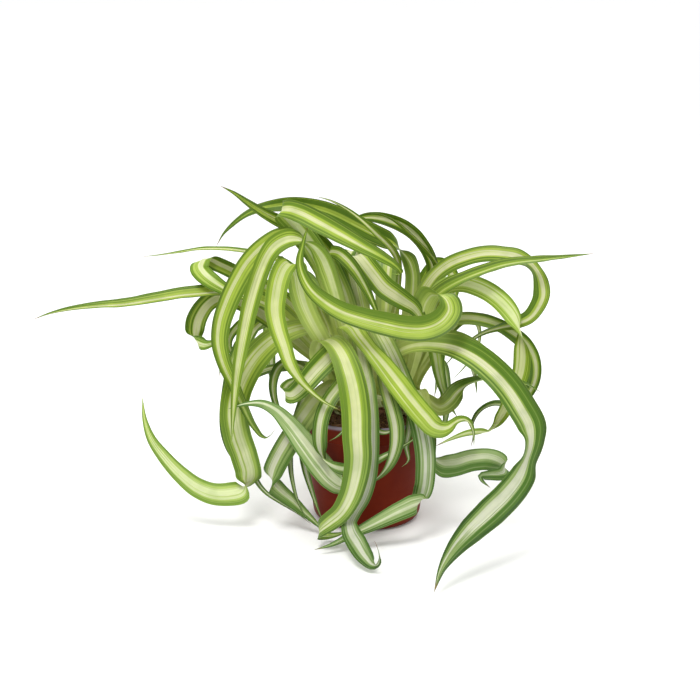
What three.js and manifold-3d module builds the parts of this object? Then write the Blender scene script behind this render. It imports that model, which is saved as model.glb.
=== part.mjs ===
// A spider plant in a plain plastic pot. Millimetres, +Z up, the origin at the centre of the pot's foot.
// The plant's front faces -Y, so +X is to the viewer's right.
import * as THREE from "three";
import { mergeVertices } from "three/addons/utils/BufferGeometryUtils.js";
import Module from "manifold-3d";

const wasm = await Module();
wasm.setup();

// ---- Pot ----
const POT_HEIGHT = 105;
const LIP_RADIUS = 65.5;
const LIP_HEIGHT = 4;
const BAND_TOP_RADIUS = 64.4;
const BAND_FOOT_RADIUS = 63.6;
const BAND_HEIGHT = 17;
const BODY_TOP_RADIUS = 62.6;
const BODY_FOOT_RADIUS = 50.9;
const FOOT_ROUNDING = 8.5;
const WALL = 2.2;
const FLOOR_THICKNESS = 2.6;
const DRAIN_HOLES = 6;
const DRAIN_RADIUS = 3.5;
const DRAIN_CIRCLE = 27;
const LIP_ROUNDING = 1.4;
const BAND_STEP = 0.6; // height over which the band juts out of the body
const LIP_STEP = 0.8; // height over which the lip juts out of the band
const ROUND_STEPS = 48;
const HOLE_STEPS = 12;

// ---- Soil and crown ----
const TOUCH_GAP = 0.3;
const SOIL_EDGE_Z = 93;
const SOIL_SHOULDER_RADIUS = 52;
const SOIL_SHOULDER_Z = 97.5;
const SOIL_TOP_RADIUS = 45;
const SOIL_TOP_Z = 99.7;
const SOIL_EDGE_GAP = 0.6; // between the soil's upper edge and the pot's wall
const CROWN_FOOT_Z = SOIL_TOP_Z + TOUCH_GAP;
// Each tuft of leaves rises from its own low dome of the crown: its place, foot radius and height.
const DOMES = {
  left: { x: -16, y: 6, radius: 15, height: 8 },
  right: { x: 34, y: 8, radius: 14, height: 8 },
  back: { x: 8, y: 31, radius: 15, height: 8 },
  leftNeck: { x: -4, y: 20, radius: 9, height: 1.8 },
  rightNeck: { x: 22, y: 21, radius: 9, height: 1.8 },
};
// The leaf bases stand on each dome in three rings, at these shares of its radius, upright leaves inmost.
const SEAT_RINGS = [
  { reach: 0.25, share: 0.16 },
  { reach: 0.57, share: 0.5 },
  { reach: 0.87, share: 1 },
];
const SEAT_PITCH = 7.2; // mm between neighbours on a ring
const SEAT_GAP = 0.4; // mm between a leaf's base and the crown
const SPREADING_PASSES = 300;
const DOME_STEPS = 5;
const DOME_SIDES = 28;

// ---- Leaf blade ----
const THICKNESS = 1.2;
const TIP_THICKNESS = 0.6;
const CHANNEL_SHARE = 0.08; // depth of the blade's shallow V, as a share of its width
const BASE_WIDTH = 5.6;
const BROADENED_BY = 0.38; // share of the leaf's length where it has reached its full width
const TAPERS_FROM = 0.5; // share of the leaf's length where it starts to taper
const TAPER_POWER = 1.9;
const BASE_RUN = 11; // mm that a leaf runs straight out of the crown
const FINE_STEPS = 500;
const TURN_WEIGHT = 34; // a turn of one radian counts as this many mm when stations are shared out
const STATION_PITCH = 19; // mm, turns counted in
const LEAST_STATIONS = 12;
const MOST_STATIONS = 27;

// ---- The front view that the leaf routes are laid out on ----
// It looks down on the plant by VIEW_TILT from VIEW_DISTANCE, on a grid of GRID_STEP at the pot's axis. x
// runs to the right and y down; the rim's centre lies at RIM_X, RIM_Y and the eye straight before EYE_X,
// EYE_Y.
const VIEW_TILT = THREE.MathUtils.degToRad(15);
const VIEW_DISTANCE = 1400;
const GRID_STEP = 0.94;
const RIM_X = 367;
const RIM_Y = 408;
const EYE_X = 350;
const EYE_Y = 350;

// Each leaf has its tuft, its full width in mm, and its route from the first free bend to the tip as
// [x, y, forward, face]: x and y on the front view's grid, forward in mm from the pot's axis towards the
// viewer, and face in degrees. At face 0 the upper side looks at the viewer, at 180 the underside does, and
// a positive face turns the upper side to the right hand of someone walking out along the leaf. A fifth
// number says how many times the common width the blade has there.
const LEAVES = {
  leaf_front_centre: { tuft: "left", width: 23, route: [
    [335, 383, 4, 180], [320, 355, 12, 180], [325, 335, 24], [337, 337, 40], [347, 352, 54, 0],
    [353, 372, 66, 0], [358, 398, 77, 0], [359, 430, 86, 0], [360, 458, 90, 0], [355, 484, 93, 0],
    [345, 507, 94, 8, 1.2], [332, 519, 94, 8, 1.4], [323, 526, 90, null, 1.5], [320, 531, 82, null, 1.5],
    [326, 534, 75, 180, 1.4], [338, 533, 72, 180, 1.2], [352, 528, 72],
  ] },
  leaf_front_right_fold: { tuft: "left", width: 21, route: [
    [353, 378, 2, 180], [348, 345, 8, 180], [343, 326, 20], [348, 328, 34, 0], [358, 343, 47, 0],
    [375, 363, 59, 0], [392, 384, 67, 0, 1], [408, 404, 73, 0, 1.1], [422, 420, 77, 0, 1.3],
    [435, 431, 79, -10, 1.4],
    [446, 430, 78, -45], [455, 423, 75, -65], [464, 421, 71, -65], [471, 428, 67, -50], [473, 448, 62],
  ] },
  leaf_front_right_low: { tuft: "right", width: 18, route: [
    [394, 378, -2, 180], [383, 345, 2, 180], [377, 327, 12], [382, 337, 26, 0], [391, 353, 38, 0],
    [399, 372, 48, 0], [408, 393, 56, 0], [417, 416, 62, 0], [424, 440, 67, 0], [426, 468, 70, 0],
    [424, 488, 71, 0, 1.1], [420, 499, 74, null, 1.2], [417, 503, 81, null, 1.3], [407, 508, 85, 180, 1.5],
    [388, 517, 88, 180, 1.5], [370, 526, 91, 180, 1.2], [355, 533, 94, 180], [340, 541, 98, 180],
    [326, 547, 102, 180], [314, 550, 106],
  ] },
  leaf_front_foot_curl: { tuft: "left", width: 17, route: [
    [360, 383, -4, 180], [358, 355, -3, 180], [355, 341, 9], [357, 352, 26, 0], [361, 372, 42, 0],
    [365, 400, 60, 0], [367, 430, 70, 0], [367, 455, 75, 0], [366, 475, 78, -15], [361, 496, 81, -15],
    [352, 512, 86, 0], [347, 524, 93, 0, 1], [350, 534, 104, 0, 1.5], [356, 545, 118, 0, 2.3],
    [363, 556, 131, 0, 2.4], [370, 564, 141, 0, 1.6], [376, 565, 145, 60], [378, 558, 145, 80],
    [373, 540, 141],
  ] },
  leaf_pot_loop: { tuft: "left", width: 14, route: [
    [347, 392, 8, 180], [352, 371, 16], [350, 366, 30], [344, 380, 46, 0], [333, 394, 56, 0],
    [324, 409, 63, 0], [320, 424, 68, 0], [319, 438, 71, 0], [321, 451, 73, -30], [326, 461, 75, -90],
    [336, 468, 76, -150], [350, 471, 76, 180], [365, 467, 75, 180], [380, 460, 72, 180],
    [395, 452, 67, 180], [409, 444, 62, 180], [421, 436, 57],
  ] },
  leaf_low_left_front: { tuft: "left", width: 20, route: [
    [345, 396, 10, 180], [352, 379, 20, 180], [356, 377, 34], [359, 395, 50, 0], [361, 420, 62, 0],
    [362, 445, 67, 0], [360, 466, 67, 30], [352, 479, 66, 90], [340, 482, 65, 160, 1.1],
    [327, 471, 64, 180, 1.3], [313, 454, 62, 180, 1.4], [299, 435, 59, 180, 1.4], [286, 419, 56, 180, 1.3],
    [274, 408, 53, 180, 1.1],
    [259, 402, 50, 180], [245, 403, 48, 180], [227, 408, 46],
  ] },
  leaf_front_drop_right: { tuft: "right", width: 16, route: [
    [397, 387, 8, 180], [390, 370, 18, 180], [385, 371, 34], [387, 386, 50, 0], [391, 401, 61, 0],
    [396, 420, 69, 0], [397, 440, 75, 0], [393, 457, 78, -10], [386, 470, 80, -45], [375, 480, 80, -65],
    [359, 488, 78],
  ] },
  leaf_high_front_loop: { tuft: "right", width: 23, route: [
    [410, 375, 2, 180], [419, 338, 12, 180], [424, 308, 24, 180], [433, 293, 38], [446, 297, 52],
    [450, 309, 60], [443, 320, 66, -5], [428, 328, 70, 0], [402, 328, 70, 0], [380, 323, 68, 0],
    [360, 318, 66, 0], [340, 311, 63, 0], [325, 302, 60, 0], [312, 291, 57, 0], [304, 279, 54, 0],
    [299, 264, 50, 0], [301, 248, 46, 0], [308, 222, 40],
  ] },
  leaf_high_left_point: { tuft: "back", width: 17, route: [
    [372, 372, -30, 0], [358, 325, -32, 0], [342, 280, -24, 0], [324, 248, -12, 0], [304, 232, -2, 0],
    [285, 224, 6, 0], [265, 214, 13, 0], [245, 201, 19, 0], [232, 192, 22, 0], [220, 186, 25],
  ] },
  leaf_folded_top: { tuft: "back", width: 25, route: [
    [368, 372, -22, 180], [350, 318, -16, 180], [324, 262, -4, 180], [303, 232, 8, 180],
    [290, 218, 16, 180, 0.9], [282, 210, 25, null, 0.65], [294, 210, 35, 0, 0.75], [314, 219, 42, 0, 1],
    [340, 233, 48, 0],
    [365, 247, 52, 0], [385, 258, 54, 0], [398, 267, 51, 0], [402, 274, 42], [392, 274, 32],
  ] },
  leaf_top_arc: { tuft: "back", width: 19, route: [
    [388, 372, -30, 180], [404, 335, -32, 180], [411, 300, -30, 180], [411, 270, -26, 180],
    [402, 251, -16], [380, 240, -6, 0], [361, 230, -2, 0], [342, 220, 0, 0], [322, 212, 0, 0],
    [303, 208, -1, 0], [287, 207, -2, 0], [271, 209, -3, 20], [254, 213, -4, 40], [240, 222, -4, 40],
    [227, 233, -4, 40], [217, 249, -4],
  ] },
  leaf_thin_top: { tuft: "back", width: 8, route: [
    [384, 362, -40, 0], [396, 312, -40], [400, 270, -26], [390, 247, -4], [375, 232, 12, 0],
    [360, 218, 16, 0], [345, 207, 18, 0], [330, 199, 19, 0], [313, 194, 20],
  ] },
  leaf_top_right_arc: { tuft: "back", width: 14, route: [
    [396, 375, -40, 0], [414, 335, -46, 0], [429, 298, -44, 0], [433, 268, -38, -30],
    [424, 246, -30, -30, 1], [408, 229, -24, -30, 1.4], [388, 220, -20, -20, 1.6], [366, 217, -17, 0, 1.4],
    [350, 223, -15, 0], [340, 234, -14],
  ] },
  leaf_top_right_edge: { tuft: "right", width: 9, route: [
    [408, 376, -22, 0], [424, 340, -26, 0], [436, 300, -24, -30], [432, 269, -18, -50],
    [418, 250, -10, -55], [404, 236, -8, -55], [392, 225, -7, -50], [376, 217, -6, -50], [359, 216, -5],
  ] },
  leaf_left_thin: { tuft: "left", width: 12, route: [
    [343, 372, -20, 0], [322, 315, -36, 0], [298, 275, -42, 30], [275, 258, -38, 60],
    [250, 252, -32, 65], [225, 249, -27, 65], [200, 249, -22, 65], [180, 252, -18, 65],
    [160, 255, -15, 65], [141, 257, -13],
  ] },
  leaf_left_folded: { tuft: "left", width: 16, route: [
    [340, 376, -24, 0], [312, 335, -38, 0], [280, 302, -40, 0], [256, 288, -36, 0], [236, 277, -32, 0],
    [218, 268, -28, 0, 1], [205, 264, -22, null, 1.3], [199, 270, -14, 180, 1.7], [207, 279, -8, 180, 2],
    [219, 287, -5, 180, 2.2], [233, 295, -6, 180, 2.4], [250, 302, -10],
  ] },
  leaf_left_long: { tuft: "left", width: 16, route: [
    [336, 378, -16, 0], [305, 335, -26, 0], [272, 305, -24, 20], [246, 294, -18, 40],
    [223, 290, -13, 45], [205, 291, -10, 45], [183, 293, -8, 45], [154, 298, -5, 45],
    [123, 303, -2, 45], [96, 305, 0, 45], [74, 308, 2, 45], [54, 312, 3, 45], [32, 320, 4],
  ] },
  leaf_left_curl: { tuft: "left", width: 19, route: [
    [340, 382, -22, 0], [308, 348, -34, 0], [275, 320, -38, 0], [246, 302, -36, 0], [222, 295, -32, 0],
    [208, 302, -28, 0, 1.1], [199, 314, -25, 0, 1.5], [195, 327, -23, 0, 1.9], [197, 338, -18, null, 2],
    [204, 344, -11, 180, 2], [213, 342, -9, 180, 1.8], [222, 334, -10],
  ] },
  leaf_left_arch_outer: { tuft: "left", width: 20, route: [
    [349, 378, -4, 180], [340, 335, 0, 180], [329, 295, 4, 180], [316, 260, 8, 180], [303, 241, 14],
    [287, 236, 20, 30], [268, 245, 24, 20], [250, 262, 26, 10], [235, 287, 28, 0], [224, 313, 30, 0],
    [219, 335, 31, 0], [221, 355, 32, 0], [229, 375, 34, 0], [239, 398, 36, 0], [250, 420, 38, 0],
    [259, 434, 40, -20], [266, 438, 42, -60], [277, 425, 44],
  ] },
  leaf_left_arch_second: { tuft: "left", width: 18, route: [
    [352, 376, 0, 180], [345, 330, 7, 180], [334, 287, 14, 180], [322, 255, 20, 180], [308, 240, 28],
    [291, 238, 34, 20], [275, 247, 38, 10], [265, 264, 40, 0], [255, 292, 42, 0], [248, 320, 44, 0],
    [243, 345, 46, 0], [239, 367, 48, 0], [236, 390, 49, 0], [234, 412, 50, 0], [232, 445, 50],
  ] },
  leaf_left_arch_third: { tuft: "left", width: 20, route: [
    [346, 385, 6, 180], [330, 352, 12, 180], [312, 322, 18, 180], [301, 295, 24, 180],
    [297, 272, 30, 180], [291, 261, 38], [283, 269, 45, 0], [278, 286, 50, 0], [275, 305, 54, 0],
    [277, 322, 58, 0], [283, 341, 62, 0], [290, 362, 66, -10], [299, 377, 69, -35], [311, 390, 71, -45],
    [323, 400, 72, -45], [344, 411, 72],
  ] },
  leaf_mid_arc: { tuft: "back", width: 17, route: [
    [362, 376, -18, 180], [356, 335, -14, 180], [346, 296, -5, 180], [334, 269, 7, 180], [329, 257, 18],
    [338, 257, 27, 0], [349, 266, 33, 0], [360, 281, 37, 0], [369, 297, 39, 0], [377, 315, 40, 0],
    [384, 334, 40],
  ] },
  leaf_mid_fold: { tuft: "back", width: 20, route: [
    [374, 374, -24, 180], [364, 330, -22, 180], [354, 292, -14, 180], [350, 268, -2, 180], [356, 258, 11],
    [368, 270, 20, 0, 1], [384, 288, 26, 0, 1.3], [402, 299, 29, 0, 1.4], [417, 309, 26, 0, 1.2],
    [424, 325, 18, 0],
    [424, 346, 10],
  ] },
  leaf_right_arch: { tuft: "right", width: 18, route: [
    [406, 376, -12, 0], [413, 340, -20, 0], [423, 300, -20, -20], [443, 271, -14, -35],
    [463, 260, -8, -35], [484, 254, -2, -35], [504, 254, 4, -35], [523, 258, 9, -35], [535, 266, 13, -60],
    [541, 279, 16, -40], [543, 292, 18, 0], [539, 304, 19, 0], [531, 315, 19, 0], [516, 322, 17, -20],
    [500, 326, 14, -50], [482, 332, 11, -60], [468, 341, 8, -60], [455, 353, 6, -60], [441, 369, 5],
  ] },
  leaf_right_point: { tuft: "right", width: 18, route: [
    [409, 382, 0, 0], [416, 348, 1, 0], [424, 318, 6, -20], [436, 298, 13, -45], [450, 287, 18, -50],
    [465, 279, 22, -55], [480, 273, 24, -55], [500, 266, 26, -55], [520, 262, 27, -55],
    [540, 260, 28, -55], [560, 258, 28, -55], [580, 256, 29, -55], [597, 254, 29],
  ] },
  leaf_right_pale_arch: { tuft: "right", width: 18, route: [
    [408, 380, -8, 180], [417, 345, -12, 180], [430, 308, -8, 180], [446, 289, -2, 180],
    [463, 284, 4, 180], [484, 290, 11, 180], [500, 301, 17, 180], [512, 316, 22, 150], [518, 333, 26, 90],
    [521, 352, 29, 30], [520, 372, 30, 0], [514, 390, 30, 0], [505, 408, 29, 0], [497, 421, 27, 20],
    [488, 430, 27, 90], [474, 431, 31, 160], [458, 435, 37, 180], [445, 441, 43, 180], [434, 446, 47],
  ] },
  leaf_right_mid_arch: { tuft: "right", width: 14, route: [
    [411, 384, -6, 0], [421, 352, -10, 0], [436, 330, -6, -20], [455, 321, 0, -30], [475, 321, 6, -30],
    [490, 324, 10, -30], [504, 330, 13, -30], [516, 338, 15, -20], [527, 348, 16, 0], [534, 362, 17, 0],
    [535, 378, 17, 0], [530, 392, 15, 0], [520, 402, 12, 20], [507, 405, 10, 40], [493, 405, 9, 45],
    [481, 411, 10, 45], [473, 423, 13, 30], [474, 436, 16, 30], [471, 449, 18],
  ] },
  leaf_right_sweep: { tuft: "right", width: 21, route: [
    [398, 391, 4, 0], [390, 371, 8, 0], [395, 354, 16, -20], [412, 345, 25, -30], [430, 343, 34, -30],
    [454, 346, 46, -20], [474, 355, 57, -10], [490, 367, 67, 0], [506, 383, 77, 0], [519, 402, 86, 0],
    [530, 420, 94, 0], [534, 436, 100, -40], [531, 451, 107, -75], [527, 467, 114, -40],
    [517, 485, 124, 0, 1.3], [503, 501, 134, 0, 1.7], [486, 517, 146, 0, 2.1], [469, 533, 158, 0, 2.2],
    [454, 550, 170, 0, 2], [443, 567, 181, 0, 1.6], [434, 593, 195],
  ] },
  leaf_right_sweep_back: { tuft: "right", width: 14, route: [
    [407, 388, -2, 0], [414, 360, 0, 0], [426, 341, 9, -35], [445, 336, 20, -40], [462, 341, 31, -35],
    [480, 353, 43, -30], [500, 369, 56, -25], [516, 386, 67, -20], [529, 405, 77, -20],
    [537, 424, 85, -20], [539, 441, 90, -20], [536, 455, 94],
  ] },
  leaf_right_low: { tuft: "right", width: 22, route: [
    [414, 392, 8, 180], [418, 386, 24], [421, 403, 42, 0], [423, 428, 52, 0], [426, 450, 56, 50],
    [434, 464, 57, 120], [446, 466, 56, 180], [462, 462, 55, 180], [478, 459, 54, 180, 1],
    [492, 460, 54, 180, 1.3], [505, 466, 56, null, 1.3], [504, 473, 64, 0, 1.3], [490, 475, 68, 0, 1.2],
    [480, 477, 69, 0], [490, 488, 70],
  ] },
  leaf_left_loop: { tuft: "left", width: 26, route: [
    [346, 386, -4, 180], [342, 357, -1, 180], [333, 337, 6], [318, 329, 13, 45], [300, 329, 18, 35],
    [284, 336, 21, 20], [270, 345, 23, 10], [256, 360, 25, 0], [245, 378, 26, 0], [238, 397, 28, 0],
    [236, 415, 31, 0], [240, 438, 34, 0], [247, 458, 37, 0], [251, 475, 40, 0], [248, 489, 43],
    [238, 493, 45, 180], [224, 495, 45, 180], [208, 492, 44, 180], [192, 483, 43, 180],
    [179, 471, 42, 180], [167, 458, 41, 180], [156, 444, 40, 180], [148, 426, 39, 180], [144, 396, 37],
  ] },
  leaf_centre_fold: { tuft: "left", width: 22, route: [
    [352, 390, 12, 180], [350, 368, 20, 180], [343, 348, 29], [333, 351, 39, 0], [322, 362, 47, 0],
    [311, 374, 53, 0], [301, 386, 57, 0], [291, 394, 57, 0], [284, 391, 50], [289, 383, 43, 180],
    [300, 377, 40, 180], [312, 372, 38],
  ] },
  leaf_left_fold_drop: { tuft: "left", width: 21, route: [
    [349, 396, 16, 180], [342, 386, 28], [330, 389, 39, 0], [317, 402, 46, 0], [306, 417, 50, 0],
    [295, 433, 53, 0], [284, 450, 55, 0], [275, 467, 57, 0], [271, 481, 56], [278, 490, 50, 180],
    [290, 500, 49, 180], [303, 512, 51, 180], [315, 523, 55, 180], [326, 534, 60],
  ] },
  leaf_under_dark: { tuft: "left", width: 9, route: [
    [342, 388, 0, 180], [326, 376, 6], [311, 388, 18, 0], [300, 412, 30, 20], [292, 440, 40, 40],
    [290, 465, 47, 45], [293, 488, 57, 45], [299, 508, 61, 45], [309, 525, 66],
  ] },
  leaf_left_low_point: { tuft: "left", width: 10, route: [
    [341, 374, -24, 0], [318, 338, -36, 0], [290, 320, -40, 30], [262, 320, -36, 45], [246, 342, -26, 30],
    [239, 372, -10, 0], [239, 402, 6, 0], [243, 432, 16, 0], [248, 460, 25, 0], [256, 483, 34, 30],
    [267, 495, 41, 30], [281, 504, 46, 30], [295, 513, 51, 30], [309, 524, 58],
  ] },
  leaf_pot_left_strip: { tuft: "left", width: 9, route: [
    [342, 397, 8, 180], [331, 387, 18], [320, 395, 29, 0], [312, 411, 38, 0], [305, 436, 42, 0],
    [308, 468, 46, 0], [314, 490, 50, 0], [320, 508, 55, 0], [326, 523, 60],
  ] },
  leaf_far_left_arc: { tuft: "left", width: 11, route: [
    [341, 376, -28, 0], [310, 338, -42, 0], [272, 322, -46, 30], [242, 340, -38, 40], [230, 370, -26, 30],
    [225, 395, -16, 30], [222, 420, -8, 30], [224, 440, -2, 30], [231, 457, 4, 30], [242, 470, 9],
  ] },
  leaf_back_left_arc: { tuft: "back", width: 14, route: [
    [356, 372, -44, 0], [326, 332, -56, 0], [300, 313, -58, 20], [275, 312, -56, 30], [252, 318, -52, 30],
    [237, 327, -48, 20], [229, 341, -45, 0], [233, 356, -42, 0], [238, 372, -40],
  ] },
  leaf_low_left_back: { tuft: "left", width: 13, route: [
    [338, 386, -10, 0], [322, 372, -14, 20], [305, 366, -12, 40], [288, 367, -8, 45], [270, 370, -4, 45],
    [257, 376, -1, 40], [245, 384, 2, 30], [230, 394, 4],
  ] },
  leaf_dark_vertical: { tuft: "left", width: 10, route: [
    [338, 390, -4, 180], [318, 374, 0], [299, 364, 5, 30], [284, 363, 11, 30], [276, 374, 16, 0],
    [274, 390, 20, 0], [278, 406, 24, 0], [286, 420, 28, 0], [296, 430, 30],
  ] },
  leaf_right_drop: { tuft: "right", width: 15, route: [
    [408, 386, -12, 180], [416, 358, -14, 180], [423, 338, -6], [430, 347, 5, 180], [433, 366, 12, 180],
    [437, 386, 18, 180], [444, 405, 23, 180], [453, 420, 27],
  ] },
  leaf_right_edge_arc: { tuft: "right", width: 18, route: [
    [413, 396, 4, 0], [426, 401, 16, 0], [438, 411, 27, 0], [447, 407, 31, 0], [454, 398, 33, -15],
    [463, 388, 35, -60], [477, 382, 38, -78], [492, 380, 41, -80], [510, 381, 45, -80],
    [526, 387, 48, -70], [541, 396, 51],
  ] },
  leaf_pot_small_tip: { tuft: "right", width: 9, route: [
    [410, 398, 10, 180], [413, 396, 30], [413, 412, 48, 0], [411, 430, 56, 0], [408, 445, 59, 0],
    [410, 458, 61, 0], [403, 465, 62],
  ] },
  leaf_rim_stub: { tuft: "left", width: 9, route: [
    [358, 398, 12, 180], [361, 399, 32], [364, 410, 54, 0], [371, 427, 67, 0], [380, 433, 70, 0],
    [390, 431, 70, 0], [399, 424, 68],
  ] },
  leaf_rim_left_tip: { tuft: "left", width: 7, route: [
    [341, 404, 16, 180], [342, 405, 36], [345, 415, 58, 0], [344, 427, 69, 0], [336, 436, 71, 0],
    [327, 441, 72],
  ] },
  leaf_back_right_curl: { tuft: "back", width: 15, route: [
    [394, 372, -48, 0], [410, 322, -60, 0], [424, 282, -66, 0], [438, 264, -68, 0], [450, 270, -68, 0],
    [456, 284, -66, 0], [453, 302, -62, 0], [446, 322, -58],
  ] },
  leaf_back_upright: { tuft: "back", width: 14, route: [
    [368, 378, -42, 0], [352, 345, -50, 0], [344, 312, -54, 0], [343, 288, -60, 0], [346, 262, -72, 0],
    [352, 250, -90], [360, 262, -108, 180], [366, 292, -122, 180], [370, 330, -130],
  ] },
  leaf_right_thin: { tuft: "right", width: 8, route: [
    [413, 384, -22, 0], [436, 345, -26, 0], [458, 320, -20, -20], [472, 317, -12, -40],
    [478, 330, -8, -60], [476, 346, -5, -60], [468, 360, -3, -60], [450, 380, 0],
  ] },
  leaf_back_left_fall: { tuft: "back", width: 19, route: [
    [352, 368, -52, 0], [330, 318, -72, 0], [306, 280, -98, 30], [286, 272, -124, 90],
    [274, 292, -146, 150], [270, 330, -160, 180], [272, 372, -168, 180], [278, 410, -170],
  ] },
  leaf_back_fall: { tuft: "back", width: 21, route: [
    [380, 366, -60, 0], [384, 310, -84, 0], [386, 268, -114, 0], [388, 262, -142], [390, 290, -166, 180],
    [391, 330, -180, 180], [391, 370, -188, 180], [390, 408, -190],
  ] },
  leaf_back_right_fall: { tuft: "back", width: 19, route: [
    [402, 368, -52, 0], [414, 322, -74, 0], [424, 292, -100, -30], [433, 280, -126, -90],
    [440, 294, -148, -150], [442, 326, -162, -180], [440, 362, -170, 180], [434, 398, -172],
  ] },
  leaf_back_right_reach: { tuft: "right", width: 17, route: [
    [414, 378, -26, 0], [426, 352, -50, 0], [440, 338, -80, -40], [455, 340, -106, -70],
    [467, 355, -126, -100], [474, 374, -140, -130], [477, 396, -148],
  ] },
  leaf_back_left_reach: { tuft: "left", width: 17, route: [
    [338, 376, -30, 0], [312, 340, -56, 0], [284, 318, -86, 40], [256, 314, -114, 70],
    [234, 326, -138, 100], [222, 350, -156, 130], [220, 378, -166],
  ] },
  leaf_back_low: { tuft: "back", width: 18, route: [
    [370, 380, -62, 0], [362, 352, -84, 0], [352, 336, -110, 0], [342, 344, -134], [336, 372, -148, 180],
    [334, 404, -154, 180], [336, 434, -152],
  ] },
  leaf_back_low_right: { tuft: "back", width: 17, route: [
    [396, 382, -60, 0], [410, 356, -80, 0], [424, 344, -104, 0], [436, 354, -124], [444, 382, -136, 180],
    [446, 412, -140, 180], [442, 440, -138],
  ] },
};

// ---- Easing crossing leaves apart ----
const CLEARANCE = 2.1; // mm between the middles of two blades
const GROWTH_STEPS = 18;
const PASSES_A_STEP = 7;
const LAST_PASSES = 90;
const LARGEST_PUSH = 1.4;
const HELD_LENGTH = 5; // mm of each leaf's base that stay put
const FREE_LENGTH = 26; // mm from the base where the leaf is fully free to give way
const NARROWING_ROUNDS = 14;
const NARROWING_PASSES = 8;
const NARROWING = 0.9; // a blade that is still pressed folds to this share of its width a round
const PRESSED = 0.25; // mm
const TRIMMING_ROUNDS = 30;
const TRIMMING = 0.85; // where two blades' exact shapes still meet, their share of width after each round
const TRIMMING_PUSH = 0.3; // mm
const SAMPLES_ALONG = 5;
const SAMPLES_ACROSS = [-1, -0.5, 0, 0.5, 1];
const CELL = 26; // mm, the side of the cells in which near blades are looked up
const CELLS_A_SIDE = 64;
const EDGE_REACH = 0.5; // mm past a blade's edge where it still pushes
const OWN_PUSH = 0.6; // share of a station's own push in its step; the rest comes from its two neighbours
const STEP_GAIN = 1.3;
const EVENING = 0.5; // share of a station's drift that goes over to its neighbours' common drift in a pass
const POT_GAP = 1.6;
const GROUND_GAP = 2.2;

// ---- Colours ----
const terracotta = new THREE.MeshStandardMaterial({ color: 0x7a3320, roughness: 0.4, metalness: 0 });
const compost = new THREE.MeshStandardMaterial({ color: 0x35241a, roughness: 0.95, metalness: 0 });
const paleStem = new THREE.MeshStandardMaterial({ color: 0xc9d49a, roughness: 0.5, metalness: 0 });
const leafGreen = new THREE.MeshStandardMaterial({ color: 0x7c9c3c, roughness: 0.4, metalness: 0 });

const plant = new THREE.Group();

function addMesh(name, geometry, material) {
  const mesh = new THREE.Mesh(geometry, material);
  mesh.name = name;
  plant.add(mesh);
}

// ---- Booleans ----
function solidOf(geometry) {
  const bare = geometry.clone();
  bare.deleteAttribute("normal");
  bare.deleteAttribute("uv");
  const merged = mergeVertices(bare, 1e-4);
  return new wasm.Manifold(new wasm.Mesh({
    numProp: 3,
    vertProperties: merged.attributes.position.array,
    triVerts: new Uint32Array(merged.index.array),
  }));
}

function geometryOf(solid) {
  const mesh = solid.getMesh();
  const geometry = new THREE.BufferGeometry();
  geometry.setAttribute("position", new THREE.BufferAttribute(mesh.vertProperties, 3));
  geometry.setIndex(new THREE.BufferAttribute(mesh.triVerts, 1));
  return geometry;
}

// A body of revolution about the vertical axis, from an outline of [radius, z] that starts and ends on it.
function turned(outline) {
  const points = outline.map(([radius, z]) => new THREE.Vector2(radius, z));
  return new THREE.LatheGeometry(points, ROUND_STEPS).rotateX(Math.PI / 2);
}

// ---- Pot ----
const bandFootZ = POT_HEIGHT - BAND_HEIGHT;
const lipFootZ = POT_HEIGHT - LIP_HEIGHT;

// The tapered body's outer radius at height z, as a straight line from the foot to the band.
function bodyRadius(z) {
  const share = (z - FOOT_ROUNDING) / (bandFootZ - FOOT_ROUNDING);
  return BODY_FOOT_RADIUS + share * (BODY_TOP_RADIUS - BODY_FOOT_RADIUS);
}

function arc(centreRadius, centreZ, radius, from, to, steps) {
  return Array.from({ length: steps + 1 }, (_, i) => {
    const angle = THREE.MathUtils.degToRad(from + ((to - from) * i) / steps);
    return [centreRadius + radius * Math.cos(angle), centreZ + radius * Math.sin(angle)];
  });
}

const innerFootRadius = bodyRadius(FOOT_ROUNDING) - WALL;
const innerRounding = FOOT_ROUNDING - WALL;
const innerTopRadius = bodyRadius(POT_HEIGHT) - WALL;

const potOutline = [
  [0, 0],
  ...arc(BODY_FOOT_RADIUS - FOOT_ROUNDING, FOOT_ROUNDING, FOOT_ROUNDING, -90, 0, 5),
  [BODY_TOP_RADIUS, bandFootZ],
  [BAND_FOOT_RADIUS, bandFootZ + BAND_STEP],
  [BAND_TOP_RADIUS, lipFootZ],
  [LIP_RADIUS, lipFootZ + LIP_STEP],
  ...arc(LIP_RADIUS - LIP_ROUNDING, POT_HEIGHT - LIP_ROUNDING, LIP_ROUNDING, 0, 90, 3),
  [innerTopRadius, POT_HEIGHT],
  ...arc(innerFootRadius - innerRounding, FLOOR_THICKNESS + innerRounding, innerRounding, 0, -90, 4),
  [0, FLOOR_THICKNESS],
];

function potGeometry() {
  let pot = solidOf(turned(potOutline));
  for (let i = 0; i < DRAIN_HOLES; i++) {
    const angle = (i / DRAIN_HOLES) * 2 * Math.PI;
    const hole = new THREE.CylinderGeometry(DRAIN_RADIUS, DRAIN_RADIUS, 4 * FLOOR_THICKNESS, HOLE_STEPS)
      .rotateX(Math.PI / 2)
      .translate(DRAIN_CIRCLE * Math.cos(angle), DRAIN_CIRCLE * Math.sin(angle), 0);
    pot = pot.subtract(solidOf(hole));
  }
  return geometryOf(pot);
}

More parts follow.
